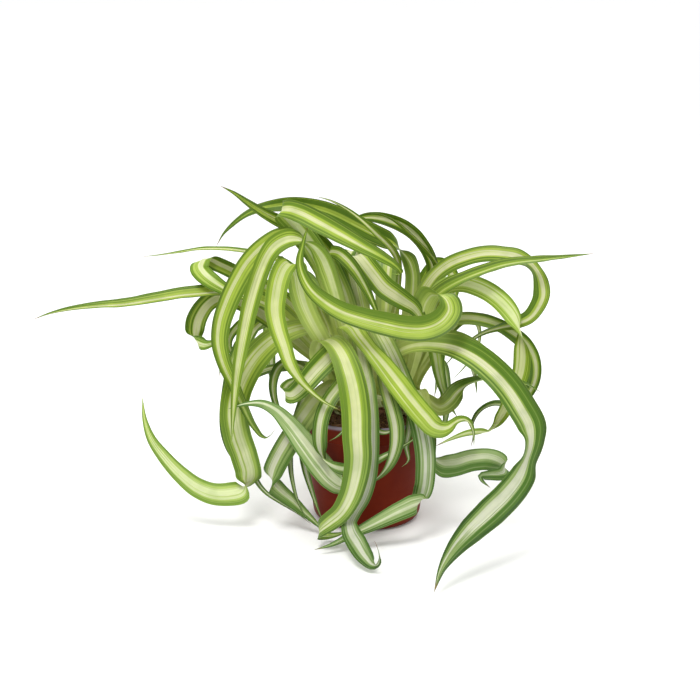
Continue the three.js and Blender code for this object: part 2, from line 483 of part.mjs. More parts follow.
// ---- Soil, a little mounded towards the crown ----
const soilFootZ = FLOOR_THICKNESS + TOUCH_GAP;
const soilOutline = [
  [0, soilFootZ],
  ...arc(
    innerFootRadius - innerRounding, FLOOR_THICKNESS + innerRounding, innerRounding - TOUCH_GAP, -90, 0, 4,
  ),
  [bodyRadius(SOIL_EDGE_Z) - WALL - SOIL_EDGE_GAP, SOIL_EDGE_Z],
  [SOIL_SHOULDER_RADIUS, SOIL_SHOULDER_Z],
  [SOIL_TOP_RADIUS, SOIL_TOP_Z],
  [0, SOIL_TOP_Z],
];

// ---- Crown: low domes joined by lower necks, flat where they stand on the soil ----
function domeSphere(dome) {
  const radius = (dome.radius ** 2 + dome.height ** 2) / (2 * dome.height);
  return { radius, centre: new THREE.Vector3(dome.x, dome.y, CROWN_FOOT_Z + dome.height - radius) };
}

function domeGeometry(dome) {
  const sphere = domeSphere(dome);
  const sunk = sphere.radius - dome.height;
  const edge = THREE.MathUtils.radToDeg(Math.asin(sunk / sphere.radius));
  const cap = arc(0, CROWN_FOOT_Z - sunk, sphere.radius, edge, 90, DOME_STEPS);
  cap[cap.length - 1][0] = 0;
  const points = [[0, CROWN_FOOT_Z], ...cap].map(([radius, z]) => new THREE.Vector2(radius, z));
  return new THREE.LatheGeometry(points, DOME_SIDES).rotateX(Math.PI / 2).translate(dome.x, dome.y, 0);
}

function crownGeometry() {
  const domes = Object.values(DOMES).map((dome) => solidOf(domeGeometry(dome)));
  return geometryOf(domes.reduce((joined, dome) => joined.add(dome)));
}

// ---- The front view ----
const viewRight = new THREE.Vector3(1, 0, 0);
const viewUp = new THREE.Vector3(0, Math.sin(VIEW_TILT), Math.cos(VIEW_TILT));
const viewToward = new THREE.Vector3(0, -Math.cos(VIEW_TILT), Math.sin(VIEW_TILT));
const rimCentre = new THREE.Vector3(0, 0, POT_HEIGHT);
const eye = gridPlane(EYE_X, EYE_Y).addScaledVector(viewToward, VIEW_DISTANCE);

// The point of the plane through the rim's centre, square to the view, at a place of the grid.
function gridPlane(x, y) {
  return rimCentre.clone()
    .addScaledVector(viewRight, (x - RIM_X) * GRID_STEP)
    .addScaledVector(viewUp, (RIM_Y - y) * GRID_STEP);
}

// Where the sight line through a place of the grid meets the upright plane this far forward of the axis.
function gridPoint(x, y, forward) {
  const through = gridPlane(x, y);
  const share = (-forward - eye.y) / (through.y - eye.y);
  return eye.clone().lerp(through, share);
}

// ---- Leaf bases on the domes ----
function routePoints(leaf) {
  return leaf.route.map(([x, y, forward]) => gridPoint(x, y, forward));
}

// Moves neighbours on a ring apart until each has its pitch, as far as the ring has room for it.
function spreadAngles(angles, radius) {
  const pitch = Math.min(SEAT_PITCH / radius, (2 * Math.PI) / angles.length);
  for (let pass = 0; pass < SPREADING_PASSES; pass++) {
    const order = angles.map((_, i) => i).sort((a, b) => angles[a] - angles[b]);
    order.forEach((here, i) => {
      const next = order[(i + 1) % order.length];
      const turn = i + 1 === order.length ? 2 * Math.PI : 0;
      const short = pitch - (angles[next] + turn - angles[here]);
      if (order.length > 1 && short > 0) {
        angles[here] -= short / 2;
        angles[next] += short / 2;
      }
    });
  }
  return angles;
}

function seatTuft(tuft) {
  const dome = DOMES[tuft];
  const sphere = domeSphere(dome);
  const members = Object.values(LEAVES).filter((leaf) => leaf.tuft === tuft);
  members.forEach((leaf) => {
    const first = routePoints(leaf)[1];
    const away = new THREE.Vector2(first.x - dome.x, first.y - dome.y);
    leaf.bearing = away.angle();
    leaf.lean = away.length() / (first.z - CROWN_FOOT_Z);
  });
  members.sort((a, b) => a.lean - b.lean);
  let seated = 0;
  for (const ring of SEAT_RINGS) {
    const last = Math.round(ring.share * members.length);
    const group = members.slice(seated, last);
    const radius = ring.reach * dome.radius;
    const angles = spreadAngles(group.map((leaf) => leaf.bearing), radius);
    group.forEach((leaf, i) => {
      const rise = Math.sqrt(sphere.radius ** 2 - radius ** 2);
      leaf.out = new THREE.Vector3(radius * Math.cos(angles[i]), radius * Math.sin(angles[i]), rise)
        .normalize();
      leaf.seat = sphere.centre.clone().addScaledVector(leaf.out, sphere.radius + SEAT_GAP);
      leaf.inward = new THREE.Vector3(-Math.cos(angles[i]), -Math.sin(angles[i]), 0);
    });
    seated = last;
  }
}

// ---- One leaf's stations ----
function smooth(t) {
  const clamped = Math.min(1, Math.max(0, t));
  return clamped * clamped * (3 - 2 * clamped);
}

// The full blade's width along the leaf: narrow at the base, widest in the middle, with a long fine tip.
function widthAt(share, width) {
  const base = BASE_WIDTH + (width - BASE_WIDTH) * smooth(share / BROADENED_BY);
  const taper = 1 - (Math.max(0, share - TAPERS_FROM) / (1 - TAPERS_FROM)) ** TAPER_POWER;
  return base * taper;
}

function turnAbout(vector, axis, angle) {
  return vector.clone().applyAxisAngle(axis, angle);
}

function squareTo(vector, axis) {
  return vector.clone().addScaledVector(axis, -vector.dot(axis)).normalize();
}

// The value between keys of a place and a value, eased from each to the next.
function valueAt(keys, at) {
  const after = keys.findIndex((key) => key.at > at);
  if (after < 0) return keys[keys.length - 1].value;
  const [a, b] = [keys[after - 1], keys[after]];
  return a.value + (b.value - a.value) * smooth((at - a.at) / (b.at - a.at));
}

function stationsOf(leaf) {
  const start = leaf.seat;
  const controls = [start, start.clone().addScaledVector(leaf.out, BASE_RUN), ...routePoints(leaf)];
  const curve = new THREE.CatmullRomCurve3(controls, false, "centripetal");
  const points = Array.from({ length: FINE_STEPS + 1 }, (_, i) => curve.getPoint(i / FINE_STEPS));
  const tangents = Array.from({ length: FINE_STEPS + 1 }, (_, i) => curve.getTangent(i / FINE_STEPS));

  // A normal carried along the leaf without turning about it, and the angle from it to the asked-for face.
  const carried = [squareTo(leaf.inward, tangents[0])];
  const length = [0];
  const measure = [0];
  for (let i = 1; i <= FINE_STEPS; i++) {
    carried.push(squareTo(carried[i - 1], tangents[i]));
    const step = points[i].distanceTo(points[i - 1]);
    length.push(length[i - 1] + step);
    measure.push(measure[i - 1] + step + TURN_WEIGHT * tangents[i].angleTo(tangents[i - 1]));
  }
  const turns = [{ at: 0, value: 0 }];
  const swells = [{ at: 0, value: 1 }];
  leaf.route.forEach(([, , , face, swell], i) => {
    const k = Math.round(((i + 2) / (controls.length - 1)) * FINE_STEPS);
    if (swell) swells.push({ at: length[k], value: swell });
    if (face === null || face === undefined) return;
    const facing = squareTo(eye.clone().sub(points[k]).normalize(), tangents[k]);
    const wanted = turnAbout(facing, tangents[k], THREE.MathUtils.degToRad(face));
    let angle = Math.atan2(carried[k].clone().cross(wanted).dot(tangents[k]), carried[k].dot(wanted));
    const before = turns[turns.length - 1].value;
    angle += 2 * Math.PI * Math.round((before - angle) / (2 * Math.PI));
    turns.push({ at: length[k], value: angle });
  });

  const total = measure[FINE_STEPS];
  const wantedCount = Math.round(total / STATION_PITCH);
  const count = Math.min(MOST_STATIONS, Math.max(LEAST_STATIONS, wantedCount));
  const stations = [];
  for (let s = 0, k = 0; s < count; s++) {
    while (k < FINE_STEPS && measure[k] < (total * s) / (count - 1)) k++;
    const share = length[k] / length[FINE_STEPS];
    const normal = turnAbout(carried[k], tangents[k], valueAt(turns, length[k]));
    stations.push({
      centre: points[k].clone(),
      across: normal.clone().cross(tangents[k]).normalize(),
      home: points[k].clone(),
      width: widthAt(share, leaf.width) * valueAt(swells, length[k]),
      give: smooth((length[k] - HELD_LENGTH) / (FREE_LENGTH - HELD_LENGTH)),
    });
  }
  return stations;
}

// ---- Easing apart ----
// Each leaf widens from a thread to its full blade in steps. A blade that comes too near another is pushed
// off along the other's normal, to the side its own middle is on. How far each station has drifted from its
// home is evened out with its neighbours, so that a leaf keeps its curve. The pot, the soil, the crown and
// the ground push too.
function channelHeight(share, width) {
  return CHANNEL_SHARE * width * (Math.abs(share) - 0.5);
}

function segmentsOf(stations, grown) {
  return stations.slice(0, -1).map((a, i) => {
    const b = stations[i + 1];
    const along = b.centre.clone().sub(a.centre);
    const span = along.length();
    const across = a.across.clone().add(b.across).normalize();
    const normal = along.clone().cross(across).normalize();
    return { a, b, i, span, along: along.divideScalar(span), across, normal, grown };
  });
}

function cellKey(point, dx = 0, dy = 0, dz = 0) {
  const [x, y, z] = [point.x, point.y, point.z].map((value) => Math.floor(value / CELL) + CELLS_A_SIDE / 2);
  return x + dx + CELLS_A_SIDE * (y + dy + CELLS_A_SIDE * (z + dz));
}

function nearSegments(cells, point) {
  const near = [];
  for (let dx = -1; dx <= 1; dx++)
    for (let dy = -1; dy <= 1; dy++)
      for (let dz = -1; dz <= 1; dz++) near.push(...(cells.get(cellKey(point, dx, dy, dz)) ?? []));
  return near;
}

const offset = new THREE.Vector3();
const middleOffset = new THREE.Vector3();

// How far, and which way, a blade's point must move along the segment's normal to lie clear of it.
function pushFrom(segment, point, middle) {
  offset.copy(point).sub(segment.a.centre);
  const share = offset.dot(segment.along) / segment.span;
  if (share < 0 || share > 1) return 0;
  const width = THREE.MathUtils.lerp(segment.a.width, segment.b.width, share) * segment.grown;
  const sideways = offset.dot(segment.across);
  if (Math.abs(sideways) > width / 2 + EDGE_REACH) return 0;
  const height = offset.dot(segment.normal) - channelHeight((2 * sideways) / (width + 0.01), width);
  if (Math.abs(height) > LARGEST_PUSH + CLEARANCE) return 0;
  const side = middleOffset.copy(middle).sub(segment.a.centre).dot(segment.normal) >= 0 ? 1 : -1;
  const short = CLEARANCE - side * height;
  return short > 0 ? side * Math.min(short, LARGEST_PUSH) : 0;
}

const endOffset = new THREE.Vector3();

// Where a leaf's own middle line runs through a blade, the way round the blade's nearer edge.
function pushRound(segment, from, to) {
  offset.copy(from).sub(segment.a.centre);
  endOffset.copy(to).sub(segment.a.centre);
  const [start, end] = [offset.dot(segment.normal), endOffset.dot(segment.normal)];
  if (start * end >= 0) return 0;
  offset.lerp(endOffset, start / (start - end));
  const share = offset.dot(segment.along) / segment.span;
  if (share < 0 || share > 1) return 0;
  const width = THREE.MathUtils.lerp(segment.a.width, segment.b.width, share) * segment.grown;
  const sideways = offset.dot(segment.across);
  const short = width / 2 + CLEARANCE - Math.abs(sideways);
  return short > 0 ? Math.sign(sideways) * Math.min(short, LARGEST_PUSH) : 0;
}

function potRadius(z) {
  if (z > lipFootZ) return LIP_RADIUS;
  if (z > bandFootZ) return BAND_TOP_RADIUS;
  return bodyRadius(Math.max(z, 0));
}

function soilHeight(radius) {
  if (radius < SOIL_TOP_RADIUS) return SOIL_TOP_Z;
  const share = (radius - SOIL_TOP_RADIUS) / (bodyRadius(SOIL_EDGE_Z) - WALL - SOIL_TOP_RADIUS);
  return SOIL_TOP_Z - share * (SOIL_TOP_Z - SOIL_EDGE_Z);
}

// The push that keeps a point off the ground, the pot's wall, the soil and the crown.
function pushFromPot(point, push) {
  push.set(0, 0, 0);
  if (point.z < GROUND_GAP) push.z = GROUND_GAP - point.z;
  const radius = Math.hypot(point.x, point.y);
  const outward = potRadius(point.z) + POT_GAP - radius;
  const inward = radius - (bodyRadius(point.z) - WALL - POT_GAP);
  const upward = POT_HEIGHT + POT_GAP - point.z;
  if (upward > 0 && outward > 0 && inward > 0) {
    if (upward < outward) push.z = upward;
    else push.set((point.x / radius) * outward, (point.y / radius) * outward, push.z);
  } else if (inward <= 0) {
    push.z = Math.max(push.z, soilHeight(radius) + POT_GAP - point.z);
  }
  for (const dome of Object.values(DOMES)) {
    const sphere = domeSphere(dome);
    const depth = sphere.radius + POT_GAP - point.distanceTo(sphere.centre);
    if (depth > 0 && point.z > CROWN_FOOT_Z) {
      push.addScaledVector(offset.copy(point).sub(sphere.centre).normalize(), depth);
    }
  }
  return push.clampLength(0, LARGEST_PUSH);
}

function easeOnce(blades, grown) {
  const segments = blades.map((stations) => segmentsOf(stations, grown));
  const cells = new Map();
  segments.forEach((list, leaf) => list.forEach((segment) => {
    segment.leaf = leaf;
    const key = cellKey(segment.a.centre.clone().lerp(segment.b.centre, 0.5));
    if (!cells.has(key)) cells.set(key, []);
    cells.get(key).push(segment);
  }));
  const pushes = blades.map((stations) => stations.map(() => ({ sum: new THREE.Vector3(), count: 0 })));
  function give(leaf, station, vector, weight) {
    const push = pushes[leaf][station];
    push.sum.addScaledVector(vector, weight);
    push.count += Math.abs(weight) > 0 ? 1 : 0;
  }
  const middle = new THREE.Vector3();
  const point = new THREE.Vector3();
  const fromPot = new THREE.Vector3();
  segments.forEach((list, leaf) => list.forEach((segment) => {
    for (let j = 0; j < SAMPLES_ALONG; j++) {
      const share = j / SAMPLES_ALONG;
      middle.lerpVectors(segment.a.centre, segment.b.centre, share);
      const width = THREE.MathUtils.lerp(segment.a.width, segment.b.width, share) * grown;
      const near = nearSegments(cells, middle);
      if (j === 0) {
        for (const other of near) {
          if (other.leaf === leaf) continue;
          const amount = pushRound(other, segment.a.centre, segment.b.centre);
          if (amount === 0) continue;
          give(leaf, segment.i, other.across, amount / 2);
          give(leaf, segment.i + 1, other.across, amount / 2);
          give(other.leaf, other.i, other.across, -amount / 2);
          give(other.leaf, other.i + 1, other.across, -amount / 2);
        }
      }
      for (const side of SAMPLES_ACROSS) {
        point.copy(middle)
          .addScaledVector(segment.across, (side * width) / 2)
          .addScaledVector(segment.normal, channelHeight(side, width));
        pushFromPot(point, fromPot);
        if (fromPot.lengthSq() > 0) {
          give(leaf, segment.i, fromPot, 1);
          give(leaf, segment.i + 1, fromPot, 1);
        }
        for (const other of near) {
          if (other.leaf === leaf) continue;
          const amount = pushFrom(other, point, middle);
          if (amount === 0) continue;
          give(leaf, segment.i, other.normal, amount / 2);
          give(leaf, segment.i + 1, other.normal, amount / 2);
          give(other.leaf, other.i, other.normal, -amount / 2);
          give(other.leaf, other.i + 1, other.normal, -amount / 2);
        }
      }
    }
  }));
  blades.forEach((stations, leaf) => {
    const steps = pushes[leaf].map((push) => push.sum.divideScalar(Math.max(1, push.count)));
    stations.forEach((station, i) => {
      const before = steps[Math.max(0, i - 1)];
      const after = steps[Math.min(steps.length - 1, i + 1)];
      const step = before.clone().add(after).multiplyScalar((1 - OWN_PUSH) / 2);
      step.addScaledVector(steps[i], OWN_PUSH);
      station.centre.addScaledVector(step, station.give * STEP_GAIN);
      station.pressed = steps[i].length();
    });
    const drifts = stations.map((station) => station.centre.clone().sub(station.home));
    stations.forEach((station, i) => {
      if (station.give === 0) return;
      const before = drifts[Math.max(0, i - 1)];
      const after = drifts[Math.min(drifts.length - 1, i + 1)];
      const common = before.clone().add(after).multiplyScalar(0.5);
      station.centre.addScaledVector(common.sub(drifts[i]), EVENING);
    });
    stations.forEach((station, i) => {
      const a = stations[Math.max(0, i - 1)].centre;
      const b = stations[Math.min(stations.length - 1, i + 1)].centre;
      station.across.copy(squareTo(station.across, b.clone().sub(a).normalize()));
    });
  });
}

function easeApart(blades) {
  for (let step = 1; step <= GROWTH_STEPS; step++)
    for (let pass = 0; pass < PASSES_A_STEP; pass++) easeOnce(blades, step / GROWTH_STEPS);
  for (let pass = 0; pass < LAST_PASSES; pass++) easeOnce(blades, 1);
  for (let round = 0; round < NARROWING_ROUNDS; round++) {
    for (const station of blades.flat()) if (station.pressed > PRESSED) station.width *= NARROWING;
    for (let pass = 0; pass < NARROWING_PASSES; pass++) easeOnce(blades, 1);
  }
}

// ---- The closed blade ----
// Each station has a left edge, a ridge on the upper side, a right edge and a keel below; the last is the
// tip. The four-sided facets are split the same way above and below, along the diagonals that run outward
// from the blade's edges, so that the two sides don't meet where it twists.
function bladeGeometry(stations) {
  const corners = [];
  const lastRing = stations.length - 2;
  stations.slice(0, -1).forEach((station, i) => {
    const a = stations[Math.max(0, i - 1)].centre;
    const b = stations[i + 1].centre;
    const normal = b.clone().sub(a).cross(station.across).normalize();
    const half = station.width / 2;
    const depth = CHANNEL_SHARE * station.width;
    const thick = THREE.MathUtils.lerp(THICKNESS, TIP_THICKNESS, (i / lastRing) ** 3);
    const place = (sideways, height) =>
      station.centre.clone().addScaledVector(station.across, sideways).addScaledVector(normal, height);
    corners.push(
      place(half, depth / 2),
      place(0, -depth / 2 + thick / 2),
      place(-half, depth / 2),
      place(0, -depth / 2 - thick / 2),
    );
  });
  corners.push(stations[stations.length - 1].centre.clone());
  const faces = [[3, 1, 0], [3, 2, 1]];
  for (let ring = 0; ring < lastRing; ring++) {
    for (let c = 0; c < 4; c++) {
      const here = 4 * ring + c;
      const next = 4 * ring + ((c + 1) % 4);
      if (c % 2) faces.push([here, next, here + 4], [next, next + 4, here + 4]);
      else faces.push([here, next, next + 4], [here, next + 4, here + 4]);
    }
  }
  const tip = corners.length - 1;
  for (let c = 0; c < 4; c++) faces.push([4 * lastRing + c, 4 * lastRing + ((c + 1) % 4), tip]);
  const geometry = new THREE.BufferGeometry();
  geometry.setAttribute(
    "position",
    new THREE.BufferAttribute(new Float32Array(corners.flatMap((corner) => corner.toArray())), 3),
  );
  geometry.setIndex(faces.flat());
  return geometry;
}

// Narrows and parts two blades where their exact shapes still meet, until none do.
function boxesMeet(a, b) {
  return [0, 1, 2].every((k) => a.min[k] < b.max[k] && b.min[k] < a.max[k]);
}

function trimAt(stations, place, away) {
  const distances = stations.map((station) => station.centre.distanceTo(place));
  const nearest = distances.indexOf(Math.min(...distances));
  stations.slice(Math.max(0, nearest - 1), nearest + 2).forEach((station) => {
    station.width *= TRIMMING;
    station.centre.addScaledVector(away, TRIMMING_PUSH * station.give);
  });
}

function nearestCentre(stations, place) {
  return stations.reduce((best, station) =>
    station.centre.distanceTo(place) < best.centre.distanceTo(place) ? station : best).centre;
}

function trimMeetings(blades, fixed) {
  for (let round = 0; round < TRIMMING_ROUNDS; round++) {
    const solids = blades.map((stations) => solidOf(bladeGeometry(stations)));
    const all = [...solids, ...fixed];
    const boxes = all.map((solid) => solid.boundingBox());
    let meetings = 0;
    solids.forEach((solid, i) => {
      for (let j = i + 1; j < all.length; j++) {
        if (!boxesMeet(boxes[i], boxes[j])) continue;
        const common = solid.intersect(all[j]);
        if (common.isEmpty()) continue;
        meetings++;
        const box = common.boundingBox();
        const place = new THREE.Vector3(...box.min).add(new THREE.Vector3(...box.max)).multiplyScalar(0.5);
        const from = j < blades.length ? nearestCentre(blades[j], place) : place;
        const away = nearestCentre(blades[i], place).clone().sub(from).normalize();
        trimAt(blades[i], place, away);
        if (j < blades.length) trimAt(blades[j], place, away.negate());
      }
    });
    all.slice(0, solids.length).forEach((solid) => solid.delete());
    if (meetings === 0) break;
  }
}

const pot = potGeometry();
const crown = crownGeometry();
addMesh("pot", pot, terracotta);
addMesh("soil", turned(soilOutline), compost);
addMesh("crown", crown, paleStem);

["left", "right", "back"].forEach(seatTuft);
const blades = Object.values(LEAVES).map(stationsOf);
easeApart(blades);
trimMeetings(blades, [solidOf(crown), solidOf(pot)]);
Object.keys(LEAVES).forEach((name, i) => addMesh(name, bladeGeometry(blades[i]), leafGreen));

export default plant;
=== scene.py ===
"""A variegated spider plant in a plastic nursery pot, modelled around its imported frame.

Lengths are in metres.
"""

import math
import zlib

import bmesh
import bpy
import numpy as np
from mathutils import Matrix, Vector, noise


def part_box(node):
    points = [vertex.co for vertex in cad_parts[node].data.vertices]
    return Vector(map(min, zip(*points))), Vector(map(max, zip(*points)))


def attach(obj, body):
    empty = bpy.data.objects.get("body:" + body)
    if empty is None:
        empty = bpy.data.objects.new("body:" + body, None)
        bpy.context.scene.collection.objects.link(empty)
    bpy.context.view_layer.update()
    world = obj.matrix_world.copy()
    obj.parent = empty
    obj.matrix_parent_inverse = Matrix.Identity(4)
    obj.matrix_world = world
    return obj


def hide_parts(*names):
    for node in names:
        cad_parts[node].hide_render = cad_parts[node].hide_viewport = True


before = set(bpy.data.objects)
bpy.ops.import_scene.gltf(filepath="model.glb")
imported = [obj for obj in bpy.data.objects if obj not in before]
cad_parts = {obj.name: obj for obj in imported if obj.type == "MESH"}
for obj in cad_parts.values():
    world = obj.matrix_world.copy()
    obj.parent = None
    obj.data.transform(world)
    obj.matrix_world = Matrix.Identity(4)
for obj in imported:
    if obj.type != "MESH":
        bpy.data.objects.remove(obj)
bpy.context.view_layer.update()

MM = 0.001
BODY = "root"

# ---- Camera, as the frame's front view has it ----
VIEW_TILT = math.radians(15)
VIEW_DISTANCE = 1.4
IMAGE_SIDE = 700  # pixels
GRID_STEP = 0.94 * MM  # metres a pixel at the pot's axis
RIM_PIXEL = (367, 408)  # where the rim's centre shows
SENSOR = 36

# ---- Light ----
SKY = 1.08
KEY_PLACE = (-0.35, -0.95, 1.75)
KEY_SIZE = 0.7
KEY_POWER = 20.5
KEY_COLOUR = (1.0, 0.99, 0.97)
BACK_PLACE = (0.5, 1.2, 1.5)
BACK_SIZE = 1.0
BACK_POWER = 8
LIGHT_AIM = (0, 0, 0.17)
FLOOR_HALF_SIDE = 40.0

# ---- Leaf blades ----
RING_STEP = 2.0 * MM
FEWEST_RINGS = 24
ACROSS = (0, 0.035, 0.08, 0.17, 0.3, 0.45, 0.6, 0.75, 0.88, 0.96, 1)  # from the midrib to an edge
BLADE_THICKNESS = 0.46 * MM
TIP_THICKNESS = 0.18 * MM
EDGE_THINNING = 0.55  # share of the thickness lost at an edge
CAD_CHANNEL = 0.08  # the frame's blades: depth of the channel as a share of the width
CHANNEL = (0.09, 0.19)  # the same here, from one leaf to another
BASE_CHANNEL = 0.34
BASE_FOLD_LENGTH = 30 * MM
BASE_WIDTH = 5.4 * MM
SHEATH_LENGTH = 70 * MM
CHANNEL_POWER = 1.3
MIDRIB_GROOVE = 0.16 * MM
GROOVE_SPREAD = 0.05  # in half-widths of the blade
KEEL_HEIGHT = 0.34 * MM
KEEL_SPREAD = 0.08
FULL_RIB_WIDTH = 10 * MM  # narrower blades have a smaller groove and keel
EDGE_WAVE = 0.42 * MM
FULL_WAVE_WIDTH = 14 * MM  # narrower blades wave less
WAVE_PITCH = (19, 38)  # mm from crest to crest
SWELL_PITCHES = 3.3  # pitches from one swelling of the waves to the next
WAVE_TURN = 6.28  # radians from crest to crest

# ---- Leaf stripes: shares go from 0 in the middle of the cream to 1 at the blade's edge ----
BANDS = (0.1, 0.2, 0.3, 0.47, 0.6, 0.86, 0.98)  # cream, yellow, green: each from and to; the edge
BAND_WANDER = 0.5  # how far the cream strays sideways along a leaf
BROAD_STREAKS = 0.34
SIDE_DIFFERENCE = 0.5  # how unlike a leaf's two sides can be
FINE_STREAKS = 0.12
GREEN_TIP = 0.25  # how much the cream narrows towards the tip
COOL_HEIGHT = 60 * MM  # leaves are cool below this: painted shade on the low leaves
WARM_HEIGHT = 200 * MM  # and warm above this
LOW_COOLNESS = 0.8
COOLNESS_OF_WARMTH = -3.0  # what a leaf's own warmth adds to its coolness
DARK_LINE_PLACE = 0.52  # as a share of the light line's place
SEED_SHIFT = 3.7  # sets each leaf's streaks apart from the others'
DRY_TIP = (112, 76, 40)

# ---- Pot ----
TURNS = 160
DRAIN_HOLES = 6
DRAIN_RADIUS = 3.5 * MM
DRAIN_CIRCLE = 27 * MM
LIP_SHEEN_HEIGHT = 4.2 * MM  # height of the lip's pale band, a painted reflection of the bright surroundings
POT_WALL = 2.2 * MM
POT_FLOOR = 2.6 * MM
FOOT_RADIUS = 50.9 * MM
FOOT_ROUNDING = 8.5 * MM
RECESS_DEPTH = 0.6 * MM  # of the middle under the foot
RECESS_RADIUS = 38 * MM
RECESS_EDGE = 39.4 * MM
BODY_TOP = 62.6 * MM  # radius just under the rim band
BAND_HEIGHT = 17 * MM
BAND_FOOT_RADIUS = 63.0 * MM
BAND_TOP_RADIUS = 64.2 * MM
LIP_RADIUS = 2.0 * MM  # of the lip's rolled outside
LIP_INSIDE = 1.1 * MM  # of its inner edge
RIDGES = 5200.0  # the turned lines' pitch, radians a metre

# ---- Soil ----
SOIL_RINGS = 60
SOIL_SPOKES = 220
SOIL_EDGE = 58.5 * MM
SOIL_SHOULDER = 44 * MM
SOIL_DROP = 6.4 * MM  # how much lower the soil is at its edge
HIGHEST_LUMP = 1.4 * MM
LUMPS_SEED = 3.7
CRUMBS = 420
CRUMB_SIZES = (0.7, 2.3)  # mm
GRIT = 26
GRIT_SIZES = (0.6, 1.4)  # mm
FIBRES = 46
FIBRE_STEPS = 9


def seed_of(name):
    return zlib.crc32(name.encode()) % 10007


def set_smooth(mesh, sharp_angle=math.radians(55)):
    mesh.shade_smooth()
    mesh.set_sharp_from_angle(angle=sharp_angle)


def new_piece(name, mesh, slot, *replaced):
    piece = bpy.data.objects.new(name, mesh)
    bpy.context.scene.collection.objects.link(piece)
    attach(piece, BODY)
    if replaced:
        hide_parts(*replaced)
    return piece


def mesh_of(name, vertices, faces):
    mesh = bpy.data.meshes.new(name)
    mesh.from_pydata([tuple(v) for v in vertices], [], faces)
    mesh.validate()
    mesh.update()
    return mesh


# ---- Material helpers ----
class Tree:
    """A material's nodes, made by short calls."""

    def __init__(self, name):
        self.material = bpy.data.materials.new(name)
        self.material.use_nodes = True
        self.nodes = self.material.node_tree.nodes
        self.links = self.material.node_tree.links
        self.nodes.clear()
        self.shader = self.nodes.new("ShaderNodeBsdfPrincipled")
        output = self.nodes.new("ShaderNodeOutputMaterial")
        self.links.new(self.shader.outputs[0], output.inputs[0])

    def put(self, value, socket):
        if isinstance(value, bpy.types.NodeSocket):
            self.links.new(value, socket)
        elif value is not None:
            socket.default_value = value

    def math(self, operation, a, b=None, c=None):
        node = self.nodes.new("ShaderNodeMath")
        node.operation = operation
        for value, socket in zip((a, b, c), node.inputs):
            self.put(value, socket)
        return node.outputs[0]

    def split(self, vector):
        node = self.nodes.new("ShaderNodeSeparateXYZ")
        self.links.new(vector, node.inputs[0])
        return node.outputs

    def attribute(self, name):
        node = self.nodes.new("ShaderNodeAttribute")
        node.attribute_name = name
        return self.split(node.outputs["Vector"])

    def swing(self, value, size):
        """A value from 0..1 as one about 0, from -size/2 to size/2."""
        return self.math("MULTIPLY_ADD", value, size, -size / 2)

    def apart(self, a, b):
        return self.math("ABSOLUTE", self.math("SUBTRACT", a, b))

    def position(self):
        return self.nodes.new("ShaderNodeTexCoord").outputs["Object"]

    def vector(self, x, y, z):
        node = self.nodes.new("ShaderNodeCombineXYZ")
        for value, socket in zip((x, y, z), node.inputs):
            self.put(value, socket)
        return node.outputs[0]

    def noise(self, vector, scale, detail=2.0, rough=0.5):
        node = self.nodes.new("ShaderNodeTexNoise")
        self.put(vector, node.inputs["Vector"])
        node.inputs["Scale"].default_value = scale
        node.inputs["Detail"].default_value = detail
        node.inputs["Roughness"].default_value = rough
        return node.outputs["Fac"]

    def step(self, value, low, high, to_low=0.0, to_high=1.0):
        """The value's place from low to high as one from to_low to to_high, eased at both ends."""
        node = self.nodes.new("ShaderNodeMapRange")
        node.interpolation_type = "SMOOTHSTEP"
        for given, socket in zip((value, low, high, to_low, to_high), node.inputs):
            self.put(given, socket)
        return node.outputs[0]

    def ramp(self, value, stops):
        node = self.nodes.new("ShaderNodeValToRGB")
        self.put(value, node.inputs[0])
        elements = node.color_ramp.elements
        while len(elements) < len(stops):
            elements.new(0.5)
        for element, (place, colour) in zip(elements, stops):
            element.position = place
            element.color = (*colour, 1)
        return node.outputs[0]

    def mix(self, share, a, b, blend="MIX"):
        node = self.nodes.new("ShaderNodeMix")
        node.data_type = "RGBA"
        node.blend_type = blend
        self.put(share, node.inputs["Factor"])
        for value, socket in ((a, node.inputs[6]), (b, node.inputs[7])):
            self.put((*value, 1) if isinstance(value, tuple) else value, socket)
        return node.outputs[2]

    def bump(self, height, strength, distance):
        node = self.nodes.new("ShaderNodeBump")
        node.inputs["Strength"].default_value = strength
        node.inputs["Distance"].default_value = distance
        self.put(height, node.inputs["Height"])
        self.links.new(node.outputs[0], self.shader.inputs["Normal"])

    def set(self, **values):
        for name, value in values.items():
            self.put(value, self.shader.inputs[name.replace("_", " ")])
        return self.material


def srgb(red, green, blue):
    """A colour given as a screen's values, 0..255, as linear light."""
    def linear(value):
        share = value / 255
        return share / 12.92 if share <= 0.04045 else ((share + 0.055) / 1.055) ** 2.4
    return tuple(linear(value) for value in (red, green, blue))


